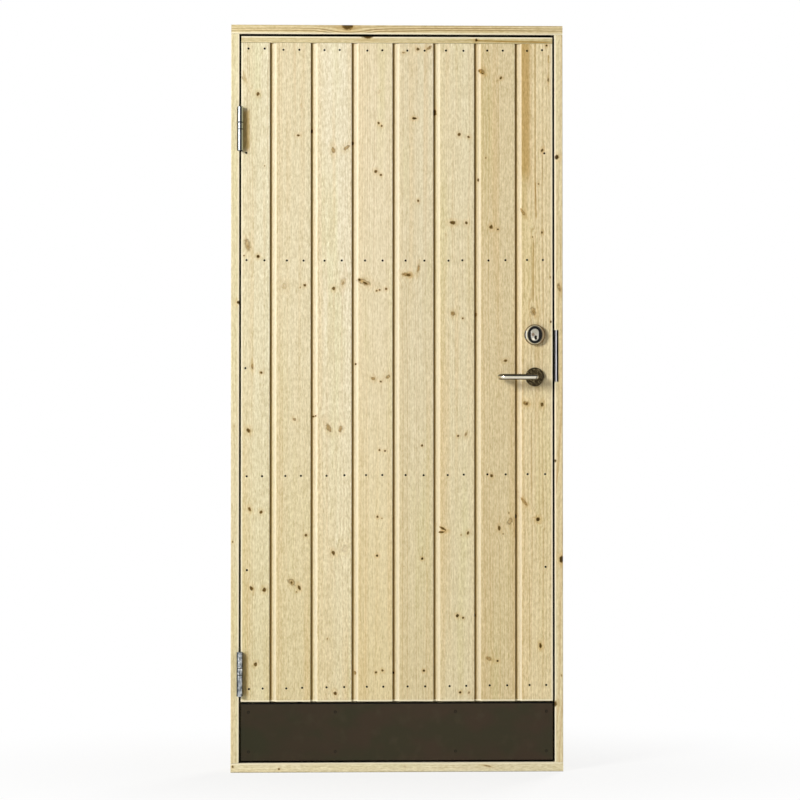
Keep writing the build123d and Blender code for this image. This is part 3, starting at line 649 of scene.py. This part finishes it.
BOARD_LIGHT = {
    1: (231, 222, 190), 2: (230, 218, 184), 3: (238, 228, 199), 4: (237, 224, 191),
    5: (231, 219, 186), 6: (234, 222, 187), 7: (227, 211, 171), 8: (237, 221, 180),
}
BOARD_YELLOWING = {1: 0.8, 2: 0.8, 3: 0.8, 4: 1.0, 5: 0.7, 6: 0.3, 7: 0.3, 8: 0.2}
# Where the heart of the tree lies from the board's middle, across and in depth, and how the rings lean
BOARD_HEART = {
    1: (0.070, 0.050, 0.002), 2: (-0.080, 0.040, -0.002), 3: (0.004, 0.030, 0.003),
    4: (-0.090, 0.050, 0.002), 5: (0.085, 0.040, -0.002), 6: (0.075, 0.040, 0.002),
    7: (-0.075, 0.050, -0.002), 8: (-0.070, 0.030, 0.002),
}
BOARD_SPECKLE = {1: 0.95, 2: 0.95, 3: 1.05, 4: 0.75, 5: 0.78, 6: 0.86, 7: 0.90, 8: 0.95}

BOARD_ENDS = ("z", BOARD_END, 1)
BOARD_ARRISES = {1: [("x", LEAF_EDGE, 1)], 8: [("x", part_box("board_8")[1][0], -1)]}

BOARD_DARK = (196, 160, 98)
COARSE_BOARD = 8
for number in range(1, 9):
    *heart, lean = BOARD_HEART[number]
    coarse = number == COARSE_BOARD
    pine(
        f"board_{number}", False, 3.7 * number, BOARD_LIGHT[number], BOARD_DARK, heart, lean,
        spacing=0.0090 if coarse else 0.0052, contrast=0.62 if coarse else 0.32,
        knots=BOARD_KNOTS[number], streaks=BOARD_STREAKS[number], wander=0.014,
        speckle=BOARD_SPECKLE[number], side=18.0, arrises=[BOARD_ENDS] + BOARD_ARRISES.get(number, []),
        yellowing=BOARD_YELLOWING[number],
    )

# Frame and framing
STRIKE_SLOT_WIDTH = 0.0048
STRIKE_SLOT = (
    (STRIKE_HIGH[0], STRIKE_HIGH[0] + STRIKE_SLOT_WIDTH),
    (STRIKE_LOW[2], STRIKE_HIGH[2]),
)
FRAME_PIECES = {
    "hinge_jamb": dict(
        along_x=False, light=(230, 219, 182), dark=(200, 166, 104), pith=(0.05, 0.04), lean=0.006,
        spacing=0.0042, contrast=0.34, arrises=[("x", -JAMB_FACE, -1)],
        knots=[(239.2, 302.3, 4.4, 4.6, DARK), (233, 541.4, 1.6, 1.6, BROWN),
               (234.6, 426, 1.6, 2.4, FAINT)],
    ),
    "lock_jamb": dict(
        along_x=False, light=(236, 222, 180), dark=(190, 146, 76), pith=(-0.03, 0.03), lean=0.012,
        spacing=0.0040, contrast=0.55, arrises=[("x", JAMB_FACE, 1)], slot=STRIKE_SLOT,
        knots=[(557, 156.5, 4.6, 4.6, DARK), (555.5, 460.6, 2.2, 3, BROWN),
               (561.4, 559.6, 4.2, 7.4, DARK), (555.2, 704.7, 3.4, 6.4, BROWN),
               (559.5, 287, 4, 9, 15, LIGHT), (561.4, 676, 1.4, 2.6, ORANGE)],
        streaks=[(560.4, 240, 1.6, 60, 1, 0.30), (559, 300, 1.4, 30, -4, 0.34),
                 (560, 620, 1.6, 90, 0.25)],
    ),
    "frame_head": dict(
        along_x=True, light=(229, 213, 167), dark=(150, 112, 52), pith=(0.16, 0.01), spacing=0.0056,
        contrast=1.25, arrises=[("z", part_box("frame_head")[0][2], 1)],
        knots=[(347.2, 26.4, 12, 8.4, CHESTNUT)],
        streaks=[(500, 31, 90, 1.4, 1, 0.25), (290, 31.5, 100, 1.3, -1, 0.22)],
    ),
    "threshold": dict(
        along_x=True, light=(241, 231, 194), dark=(190, 158, 98), pith=(0.14, 0.02), spacing=0.0052,
        contrast=0.42, arrises=[("z", THRESHOLD_TOP, -1)],
        knots=[(279.3, 768.8, 1.8, 1.8, DARK), (487, 766.6, 8, 1.6, -6, ORANGE),
               (404.8, 766.9, 3, 1.8, FAINT), (233.4, 766.3, 2, 3, BROWN)],
        streaks=[(470, 768.5, 70, 1.2, -1, 0.16)],
    ),
    "top_rail": dict(
        along_x=True, light=(216, 201, 156), dark=(180, 144, 80), pith=(0.12, 0.02), spacing=0.0056,
        contrast=0.55, arrises=[("z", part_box("top_rail")[1][2], -1)],
        knots=[(366.8, 36.4, 12, 5, CHESTNUT), (476.5, 39.5, 3, 3.2, DARK)],
        streaks=[(512, 40.9, 84, 1.7, -1, 1.0), (455, 40.4, 40, 1.2, 2, 0.4)],
    ),
}
for node, wood in FRAME_PIECES.items():
    pine(node, seed=1.3 * len(node) + 0.7, speckle=0.8, knot_reach=0.026, **wood)

# Pieces behind the boards: node, along X, knots
RAILS = [
    ("upper_middle_rail", True, [(330, 257, 6, 5, BROWN), (468, 266, 4, 3.4, DARK)]),
    ("lower_middle_rail", True, [(372, 470, 5, 4, LIGHT), (441, 482, 4.4, 3.6, BROWN)]),
    ("bottom_rail", True, [(300, 702, 6, 5, BROWN), (402, 735, 8, 6, LIGHT),
                           (495, 716, 4, 4, DARK)]),
    ("hinge_stile", False, [(258, 205, 4, 5, BROWN), (263, 420, 5, 6, LIGHT),
                            (251, 602, 4, 4, DARK)]),
    ("hinge_stop", False, [(238, 520, 3, 4, BROWN)]),
    ("lock_stop", False, [(556, 220, 3, 4, BROWN)]),
    ("head_stop", True, [(310, 42, 5, 3, BROWN)]),
    ("lock_stile", False, [(525, 190, 5, 6, BROWN), (519, 430, 4, 5, BROWN),
                           (538, 610, 5, 5, LIGHT)]),
]
RAIL_LIGHT = (230, 214, 174)
RAIL_DARK = (192, 154, 92)
for index, (node, along_x, knots) in enumerate(RAILS):
    pine(node, along_x, 11.1 + 2.9 * index, RAIL_LIGHT, RAIL_DARK, (0.012 * (index - 2), 0.07),
         0.012 * (-1) ** index, 0.0055, 0.42, knots)


# Kick board
FILM = 0.0005
PLY = 0.0026


def kick_material():
    """Dark brown film on plywood: faintly pebbled and mottled, with thin plies at the edges, and a painted
    shadow along its top under the boards' ends.
    """
    material, g, shader = new_material("film_face")
    place = object_place(g)
    cloud = g.stretched(place, (9, 9, 14), 2)
    cloud_two = g.stretched(place, (31, 31, 24), 2)
    colour = g.mix(g.range(cloud, 0.38, 0.62), srgb(58, 54, 39), srgb(64, 53, 41))
    colour = g.mix(g.range(cloud_two, 0.52, 0.75, 0.0, 0.5), colour, srgb(70, 62, 48))
    scuff = g.stretched(place, (14, 40, 260), 3, 0.65)
    colour = g.mix(g.range(scuff, 0.66, 0.80, 0.0, 0.20), colour, srgb(104, 96, 82))
    x, y, z = g.split(place)
    plies_from = KICK_LOW[1] + FILM
    plies = g.math("FRACT", g.math("DIVIDE", g.minus(y, plies_from), PLY))
    ply_colour = g.mix(g.range(plies, 0.42, 0.58), srgb(96, 78, 54), srgb(66, 52, 36))
    inside = g.range(y, plies_from + 0.0001, plies_from + 0.0005)
    colour = g.mix(g.times(inside, 0.8), colour, ply_colour)
    shade = g.range(x, -0.42, 0.05, 0.76, 1.0, smooth=False)
    colour = g.mix(1.0, colour, g.join(shade, g.math("POWER", shade, 0.7), shade), "MULTIPLY")
    # Painted shadow: black along the top, where the boards' ends shade it
    top = KICK_HIGH[2]
    colour = g.mix(g.range(z, top - 0.0030, top - 0.0012), colour, (0.002, 0.002, 0.002, 1.0))
    g.feed(shader.inputs["Base Color"], colour)
    pebble = g.stretched(place, (900, 900, 900), 2)
    g.feed(shader.inputs["Roughness"], g.range(cloud_two, 0.3, 0.7, 0.44, 0.58, smooth=False))
    g.feed(shader.inputs["Normal"], g.bump(pebble, 0.25, 0.0002))
    shader.inputs["Specular IOR Level"].default_value = 0.12
    return material


paint("kick_board", kick_material())


# Metals
def metal(name, light, dark, rough, stretch, bump=0.15, metallic=1.0, blotch=0.5, coarse=30.0,
          specular=0.5, layer=None):
    """Metal with fine brushing along one direction, cloudy tarnish, small pits and a layer of its own
    marks, wear and painted light among them.
    """
    material, g, shader = new_material(name)
    place = object_place(g)
    brush = g.stretched(place, stretch, 3, 0.6)
    cloud = g.noise(place, coarse, 3.0, 0.55)
    spots = g.noise(place, 420.0, 1.0)
    colour = g.mix(g.range(cloud, 0.35, 0.68, 0.0, blotch), srgb(*light), srgb(*dark))
    colour = g.mix(g.range(brush, 0.30, 0.72, 0.0, 0.45), colour, srgb(*dark))
    colour = g.mix(g.range(spots, 0.68, 0.80, 0.0, 0.35), colour, srgb(*dark))
    if layer:
        colour = layer(g, colour, shader.inputs)
    g.feed(shader.inputs["Base Color"], colour)
    shader.inputs["Metallic"].default_value = metallic
    shader.inputs["Specular IOR Level"].default_value = specular
    g.feed(shader.inputs["Roughness"], g.range(brush, 0.25, 0.75, rough - 0.07, rough + 0.09, smooth=False))
    g.feed(shader.inputs["Normal"], g.bump(g.plus(brush, g.times(spots, 0.3)), bump, 0.0002))
    return material


def blotched_barrels_with_painted_reflection(g, colour, inputs):
    """Hinge barrels: painted reflection by which way the surface faces, dark edges on both and on the upper
    one a dark band, a pale far strip and a darkened base; dark joints; the lower one blotched.
    """
    place = object_place(g)
    _, y, z = g.split(place)
    upper = g.range(z, 0.9, 1.1)
    lower = g.range(z, 1.1, 0.9)
    flecks = g.stretched(place, (190, 190, 120), 3, 0.6)
    stained = g.times(g.range(flecks, 0.48, 0.66, 0.0, 0.85), lower)
    colour = g.mix(stained, colour, srgb(70, 76, 82))
    colour = g.mix(g.times(g.range(flecks, 0.42, 0.34), lower), colour, srgb(240, 242, 240))
    normal_x = g.split(object_normal(g))[0]
    # Painted shade: the upper barrel's base is darkened to tone down its highlight
    colour = g.mix(g.times(upper, 0.8), colour, srgb(140, 144, 148))
    # Painted reflection: a pale strip on the upper barrel's far side
    far_side = g.times(g.range(normal_x, 0.46, 0.56), upper)
    colour = g.mix(far_side, colour, srgb(176, 178, 152))
    # Painted reflection: a dark band down the upper barrel, and dark edges on both barrels
    band = g.times(g.range(normal_x, -0.06, 0.08), g.range(normal_x, 0.56, 0.44))
    band = g.times(band, upper)
    sides = g.larger(band, g.range(normal_x, -0.54, -0.74))
    sides = g.larger(sides, g.times(g.range(normal_x, 0.78, 0.94), lower))
    lines = 0.0
    for name in ("upper", "lower"):
        low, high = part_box(f"{name}_hinge_ring")
        for level in (low[2], high[2]):
            lines = g.larger(lines, g.range(g.math("ABSOLUTE", g.minus(z, level)), 0.0016, 0.0007))
    dark = g.times(g.larger(sides, lines), g.range(y, FRONT + 0.0005, FRONT - 0.0015))
    # The painted dark parts also darken the reflection at grazing angles
    g.feed(inputs["Specular Tint"], g.mix(dark, WHITE, srgb(30, 32, 34)))
    return g.mix(dark, colour, srgb(24, 26, 28))


LOCK_X, _, CYLINDER_Z = middle_of("outer_cylinder_ring")
HANDLE_Z = middle_of("outer_handle_rose")[2]

# Marks on the cylinder, wear and painted light: middle from the cylinder's, half sizes, strength and colour
CYLINDER_MARKS = [
    ((0.0, 0.008), (0.009, 0.009), 0.5, (176, 172, 150)),
    ((-0.0050, 0.0005), (0.0042, 0.0050), 0.8, (132, 106, 80)),
    # Painted highlight on the lower lip
    ((-0.0045, -0.0120), (0.0045, 0.0040), 1.0, (246, 240, 220)),
    # Painted shade where the keyway is, with a pale sliver at its right edge
    ((0.0025, -0.0075), (0.0042, 0.0058), 1.0, (22, 14, 6)),
    ((0.0062, -0.0075), (0.0012, 0.0040), 1.0, (220, 214, 190)),
]


def spot(graph, x, z, middle, half):
    """1 inside a soft-edged oval on the lock, whose middle is given from the cylinder's."""
    across = graph.math("DIVIDE", graph.minus(x, LOCK_X + middle[0]), half[0])
    along = graph.math("DIVIDE", graph.minus(z, CYLINDER_Z + middle[1]), half[1])
    return graph.range(graph.vector("LENGTH", graph.join(across, along, 0.0)), 1.15, 0.75)


def cylinder_finish(g, colour, _):
    """Worn nickel: brown where fingers reach, a painted highlight on the lower lip and painted shade in the
    keyway.
    """
    x, _, z = g.split(object_place(g))
    for middle, half, strength, tint in CYLINDER_MARKS:
        colour = g.mix(g.times(spot(g, x, z, middle, half), strength), colour, srgb(*tint))
    return colour


def streaked_rose(g, colour, _):
    """Darkened steel with slanting lighter streaks."""
    x, y, z = g.split(object_place(g))
    slant = g.join(g.times(g.plus(x, z), 260.0), y, g.times(g.minus(x, z), 70.0))
    streak = g.noise(slant, 1.0, 3.0, 0.65)
    return g.mix(g.range(streak, 0.50, 0.68, 0.0, 0.9), colour, srgb(150, 136, 100))


def lever_with_painted_reflection(g, colour, _):
    """Satin steel, bright along the middle of the grip, with painted dark reflection above and below it and
    round the bend by the rose.
    """
    # Painted reflection: dark where the grip faces up or down, by its surface direction
    up = g.split(object_normal(g))[2]
    dark = g.larger(g.range(up, 0.14, 0.34), g.range(up, -0.50, -0.68))
    x, _, z = g.split(object_place(g))
    r = g.vector("LENGTH", g.join(g.minus(x, LOCK_X - 0.0045), g.minus(z, HANDLE_Z), 0.0))
    bend = g.times(g.range(r, 0.0046, 0.0056), g.range(r, 0.0082, 0.0072))
    bend = g.times(bend, g.range(x, LOCK_X - 0.0025, LOCK_X))
    dark = g.larger(dark, bend)
    return g.mix(g.times(dark, 0.86), colour, srgb(36, 30, 20))


def strike_with_painted_shade(g, colour, _):
    """The strike plate gets painted shade: black along its front corner beside the gap, and deep in the gap
    where the closed leaf hides its face.
    """
    x = g.split(object_place(g))[0]
    front = g.range(g.split(object_normal(g))[1], -0.3, -0.8)
    # Painted shade widening the dark gap at the front corner
    corner_shade = g.times(g.range(x, STRIKE_LOW[0] + 0.0017, STRIKE_LOW[0] + 0.0009), front)
    dark = g.larger(corner_shade, painted_gap_shade(g))
    return g.mix(dark, colour, srgb(20, 18, 16))


def ring_finish(g, colour, _):
    """Bright rim with a brown outer edge, black round the opening, and a painted reflection on the hinge
    side: a bright crescent with a dark outline.
    """
    x, _, z = g.split(object_place(g))
    dx = g.minus(x, LOCK_X)
    dz = g.minus(z, CYLINDER_Z)
    r = g.vector("LENGTH", g.join(dx, dz, 0.0))
    oval = g.vector("LENGTH", g.vector("DIVIDE", g.join(dx, dz, 0.0), (0.0186, 0.0220, 1.0)))
    colour = g.mix(0.75, colour, srgb(226, 214, 178))
    colour = g.mix(g.range(r, 0.0244, 0.0258), colour, srgb(104, 80, 30))
    colour = g.mix(g.range(dx, 0.006, 0.020, 0.0, 0.75), colour, srgb(110, 80, 30))
    # Painted reflection: a bright crescent with a dark outline on the hinge side
    patch = g.times(g.range(g.math("ABSOLUTE", dz), 0.0115, 0.0085), g.range(dx, -0.015, -0.018))
    reflected_crescent = g.times(patch, g.range(r, 0.0218, 0.0230))
    colour = g.mix(reflected_crescent, colour, srgb(252, 250, 238))
    crescent_outline = g.times(patch, g.range(r, 0.0244, 0.0252))
    colour = g.mix(crescent_outline, colour, srgb(40, 34, 20))
    return g.mix(g.range(oval, 1.14, 1.02), colour, srgb(20, 16, 8))


zinc = metal("zinc_plate", (192, 197, 200), (110, 117, 124), 0.34, (500, 500, 30),
             coarse=60.0, layer=blotched_barrels_with_painted_reflection)
lock_steel = metal("lock_steel", (202, 200, 196), (140, 136, 130), 0.32, (500, 500, 25))
strike_steel = metal("strike_steel", (246, 244, 248), (216, 212, 216), 0.34, (500, 500, 25),
                     metallic=0.2, layer=strike_with_painted_shade)
lever_steel = metal("lever_steel", (232, 226, 208), (196, 186, 160), 0.22, (22, 600, 600),
                    bump=0.06, blotch=0.25, layer=lever_with_painted_reflection)
rose_steel = metal("rose_bronze", (78, 66, 44), (26, 20, 12), 0.32, (420, 420, 22),
                   bump=0.12, blotch=0.8, layer=streaked_rose)
ring_steel = metal("ring_steel", (196, 186, 160), (120, 106, 78), 0.34, (420, 420, 420),
                   bump=0.05, metallic=0.35, layer=ring_finish)
nickel = metal("cylinder_nickel", (214, 210, 200), (130, 124, 110), 0.30, (60, 60, 900),
               bump=0.08, layer=cylinder_finish)
nail_steel = metal("nail_steel", (12, 10, 8), (4, 3, 3), 0.7, (700, 700, 700),
                   bump=0.2, metallic=0.0, specular=0.0)
screw_dark = metal("screw_dark", (46, 42, 36), (22, 20, 17), 0.5, (700, 700, 700), bump=0.2)
screw_zinc = metal("screw_zinc", (190, 188, 180), (120, 116, 106), 0.34, (700, 700, 700))

for node in nodes:
    if "hinge" in node and node not in ("hinge_jamb", "hinge_stile", "hinge_stop"):
        paint(node, zinc)
paint("strike_plate", strike_steel)
for node in ("lock_case", "lock_bolts", "handle_spindle"):
    paint(node, lock_steel)
for side in ("outer", "inner"):
    paint(f"{side}_lever", lever_steel)
    paint(f"{side}_handle_rose", rose_steel)
    paint(f"{side}_cylinder_ring", ring_steel)
    paint(f"{side}_cylinder", nickel)


# Fasteners
def spun(bm, profile, frame_matrix, steps=14, recess=None):
    """A turned form: (radius, height) pairs from the middle of the head outwards and down.
    A recess tells how deep the top is pressed in at a place."""
    top = max(height for _, height in profile)
    rings = []
    for radius, height in profile:
        if radius == 0.0:
            rings.append([bm.verts.new(frame_matrix @ Vector((0.0, 0.0, height)))])
            continue
        ring = []
        for step in range(steps):
            turn = 2 * math.pi * step / steps
            x = radius * math.cos(turn)
            y = radius * math.sin(turn)
            z = height - recess(x, y) if recess and height == top else height
            ring.append(bm.verts.new(frame_matrix @ Vector((x, y, z))))
        rings.append(ring)
    for inner, outer in zip(rings, rings[1:]):
        for step in range(steps):
            after = (step + 1) % steps
            if len(inner) == 1:
                bm.faces.new((inner[0], outer[step], outer[after]))
            elif len(outer) == 1:
                bm.faces.new((inner[step], outer[0], inner[after]))
            else:
                bm.faces.new((inner[step], outer[step], outer[after], inner[after]))


def cross_screw(bm, radius, head, frame_matrix):
    """A countersunk head with a cross recess pressed into it."""
    arm = radius * 0.20
    reach = radius * 0.62
    deep = radius * 0.35
    foot = head - radius * 0.6

    def cross(x, y):
        near, far = sorted((abs(x), abs(y)))
        return deep * (1.0 - far / radius) if near < arm and far < reach else 0.0

    profile = [(0.0, head - deep)]
    profile += [(radius * share, head) for share in (0.30, 0.62, 0.90)]
    profile += [(radius, head - radius * 0.072), (radius * 0.55, foot), (0.0, foot)]
    spun(bm, profile, frame_matrix, 24, cross)


def facing(place, normal, spin=0.0):
    """A frame at a place whose Z axis points out of the surface."""
    turn = Vector(normal).to_track_quat("Z", "Y").to_matrix().to_4x4()
    return Matrix.Translation(Vector(place)) @ turn @ Matrix.Rotation(spin, 4, "Z")


def finished(bm, name, material, body):
    """The mesh becomes a named piece on its body."""
    bmesh.ops.recalc_face_normals(bm, faces=bm.faces)
    mesh = bpy.data.meshes.new(name)
    bm.to_mesh(mesh)
    bm.free()
    mesh.polygons.foreach_set("use_smooth", [True] * len(mesh.polygons))
    mesh.materials.append(material)
    piece = bpy.data.objects.new(name, mesh)
    scene.collection.objects.link(piece)
    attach(piece, body)
    return piece


NAIL_ROWS = {
    "top": [
        (248.4, 49), (264.6, 49), (283.3, 50.1), (299.2, 50), (324.3, 50.2), (339.5, 50), (367.2, 50.6),
        (382.2, 50.2), (407.2, 50.4), (424.6, 50.4), (446, 50.2), (463.5, 50.4), (487.4, 50.1),
        (503, 50.1), (527.3, 50.2), (542.4, 49.4),
    ],
    "upper": [
        (246.6, 260), (264.5, 260.2), (286.9, 260.3), (303.6, 260.4), (324.5, 260.4), (341.7, 260.2),
        (365, 260.2), (382.5, 260.2), (405.5, 260.2), (424.3, 260.2), (448.5, 260.2), (462.3, 259.8),
        (488.5, 260), (505.5, 259.6), (527.2, 259.4), (543.1, 259.4),
    ],
    "lower": [
        (247, 475.9), (262.3, 475.8), (285.5, 475.6), (301, 475.4), (326.6, 475.4), (344.4, 474.9),
        (366, 474.8), (382.2, 474.7), (405.5, 474.8), (423.5, 475), (447.6, 474.8), (463.7, 474.4),
        (487.3, 474.2), (505.6, 474.2), (527.6, 474), (545.1, 474),
    ],
    "bottom": [
        (249.4, 688.7), (263.1, 688.2), (286.6, 688.2), (302.4, 687.6), (326.7, 687.2), (344.2, 687),
        (366.8, 686.8), (383.2, 686.8), (407.5, 686.6), (425, 686.6), (449.4, 686.4), (466, 686.2),
        (489.5, 685.8), (506.9, 685.8), (529.3, 685.6), (546, 685.6),
    ],
    "edge": [
        (246.3, 153), (245.6, 367.8), (247.3, 569.7), (545.5, 567), (544.6, 152.6),
    ],
}
NAIL_PROFILE = [
    (0.0, 0.00006), (0.0014, 0.00005), (0.0025, 0.0), (0.0029, -0.00015), (0.0029, -0.0008), (0.0, -0.0020),
]
NAIL_FACE = FRONT - 0.0002
for row, places in NAIL_ROWS.items():
    bm = bmesh.new()
    for index, (px, py) in enumerate(places):
        x, z = from_pixel(px, py)
        spun(bm, NAIL_PROFILE, facing((x, NAIL_FACE, z), (0, -1, 0), 0.3 * index))
    finished(bm, f"{row}_nails", nail_steel, "leaf")

KICK_SCREW_COLUMNS = (248.9, 335.3, 455.3, 546.3)
KICK_SCREW_ROWS = (712.3, 752.0)
bm = bmesh.new()
for px in KICK_SCREW_COLUMNS:
    for py in KICK_SCREW_ROWS:
        x, z = from_pixel(px, py)
        cross_screw(bm, 0.0038, 0.0003, facing((x, KICK_LOW[1], z), (0, -1, 0), 0.4 + 0.01 * px))
finished(bm, "kick_board_screws", screw_dark, "leaf")

HINGE_SCREW_DEPTHS = (0.013, 0.024)
HINGE_SCREW_STEPS = (-0.042, -0.014, 0.014, 0.042)
for name in ("upper", "lower"):
    for half, body, side in (("frame_half", "frame", 1), ("leaf_half", "leaf", -1)):
        middle_z = middle_of(f"{name}_hinge_{half}")[2]
        face_x = -JAMB_FACE if side > 0 else LEAF_EDGE
        bm = bmesh.new()
        for index, step in enumerate(HINGE_SCREW_STEPS):
            y = FRONT + HINGE_SCREW_DEPTHS[index % 2]
            cross_screw(bm, 0.0034, 0.0002, facing((face_x, y, middle_z + step), (side, 0, 0), 0.7 * index))
        finished(bm, f"{name}_{half}_screws", screw_zinc, body)

LOCK_DEPTH = middle_of("lock_case")[1]
LOCK_SCREW_STEPS = (0.01175, 0.18825)
STRIKE_SCREW_STEPS = (0.01225, 0.06575, 0.12905)
for name, body, face_x, low_z, side, radius, spin, steps in (
    ("lock_face", "leaf", LOCK_HIGH[0], LOCK_LOW[2], 1, 0.0040, 0.5, LOCK_SCREW_STEPS),
    ("strike_plate", "frame", STRIKE_LOW[0], STRIKE_LOW[2], -1, 0.0036, 0.9, STRIKE_SCREW_STEPS),
):
    bm = bmesh.new()
    for step in steps:
        cross_screw(bm, radius, 0.0001, facing((face_x, LOCK_DEPTH, low_z + step), (side, 0, 0), spin))
    finished(bm, f"{name}_screws", screw_zinc, body)


# Floor, light and camera
def plain_sight(graph, gloss):
    """1 for rays straight from the camera or through glass, and the given share for rays by gloss."""
    path = graph.new("ShaderNodeLightPath")
    glossy = graph.times(path.outputs["Is Glossy Ray"], gloss)
    seen = graph.larger(path.outputs["Is Camera Ray"], glossy)
    return graph.larger(seen, path.outputs["Is Transmission Ray"])


bm = bmesh.new()
bmesh.ops.create_grid(bm, x_segments=8, y_segments=8, size=30.0)
floor_mesh = bpy.data.meshes.new("floor")
bm.to_mesh(floor_mesh)
bm.free()
floor = bpy.data.objects.new("floor", floor_mesh)
scene.collection.objects.link(floor)
floor_material = bpy.data.materials.new("floor")
g = emptied(floor_material)
matte = g.new("ShaderNodeBsdfDiffuse")
matte.inputs["Color"].default_value = (0.86, 0.86, 0.85, 1.0)
glow = g.new("ShaderNodeEmission")
glow.inputs["Color"].default_value = WHITE
away = g.vector("LENGTH", g.vector("MULTIPLY", object_place(g), (0.55, 1.0, 0.0)))
pale = g.range(away, 0.10, 0.95, 0.80, 1.0)
blend = g.new("ShaderNodeMixShader")
g.feed(blend.inputs[0], g.times(pale, plain_sight(g, 1.0)))
g.feed(blend.inputs[1], matte.outputs[0])
g.feed(blend.inputs[2], glow.outputs[0])
out = g.new("ShaderNodeOutputMaterial")
g.feed(out.inputs[0], blend.outputs[0])
floor_mesh.materials.append(floor_material)

world = bpy.data.worlds.new("studio")
scene.world = world
g = emptied(world)
height = g.split(g.new("ShaderNodeTexCoord").outputs["Generated"])[2]
soft = g.new("ShaderNodeBackground")
soft.inputs["Color"].default_value = (1.0, 0.985, 0.96, 1.0)
soft.inputs["Strength"].default_value = 0.17
seen = g.new("ShaderNodeBackground")
seen.inputs["Color"].default_value = WHITE
upward = g.range(height, 0.10, 0.62)
blend = g.new("ShaderNodeMixShader")
g.feed(blend.inputs[0], plain_sight(g, g.minus(1.0, g.times(upward, 0.92))))
g.feed(blend.inputs[1], soft.outputs[0])
g.feed(blend.inputs[2], seen.outputs[0])
out = g.new("ShaderNodeOutputWorld")
g.feed(out.inputs[0], blend.outputs[0])


def area_light(name, place, aim, size, power, colour):
    lamp = bpy.data.lights.new(name, "AREA")
    lamp.shape = "RECTANGLE"
    lamp.size, lamp.size_y = size
    lamp.energy = power
    lamp.color = colour
    holder = bpy.data.objects.new(name, lamp)
    holder.location = place
    holder.rotation_euler = (Vector(aim) - Vector(place)).to_track_quat("-Z", "Y").to_euler()
    scene.collection.objects.link(holder)


area_light("key_light", (-4.6, -4.5, 3.2), (0.0, 0.0, 1.10), (1.9, 2.1), 400.0, (1.0, 0.985, 0.955))
area_light("back_light", (2.6, 4.2, 2.6), (0.0, 0.0, 1.0), (1.8, 1.8), 190.0, (1.0, 0.99, 0.97))

# The camera stands a little to the left and looks slightly up, as the door's outline shows.
CAMERA_DISTANCE = 6.2
CAMERA_PLACE = (-0.17, FRONT - CAMERA_DISTANCE, 1.0)
CAMERA_AIM = (0.0, FRONT, 1.0975)
DOOR_MIDDLE_HEIGHT = (cad_low[2] + cad_high[2]) / 2
SENSOR = 36.0
PIXELS = 800.0
PIXELS_PER_METRE = 375.4
FRAME_MIDDLE = (397.2, 397.75)
camera_data = bpy.data.cameras.new("camera")
camera_data.sensor_width = SENSOR
camera_data.lens = PIXELS_PER_METRE * CAMERA_DISTANCE * SENSOR / PIXELS
camera_data.clip_end = 100.0
camera_data.shift_x = (PIXELS / 2 - FRAME_MIDDLE[0]) / PIXELS
below_aim = (CAMERA_AIM[2] - DOOR_MIDDLE_HEIGHT) * PIXELS_PER_METRE
camera_data.shift_y = (FRAME_MIDDLE[1] - PIXELS / 2 - below_aim) / PIXELS
camera = bpy.data.objects.new("camera", camera_data)
camera.location = CAMERA_PLACE
camera.rotation_euler = (Vector(CAMERA_AIM) - Vector(CAMERA_PLACE)).to_track_quat("-Z", "Y").to_euler()
scene.collection.objects.link(camera)
scene.camera = camera

scene.view_settings.view_transform = "Standard"
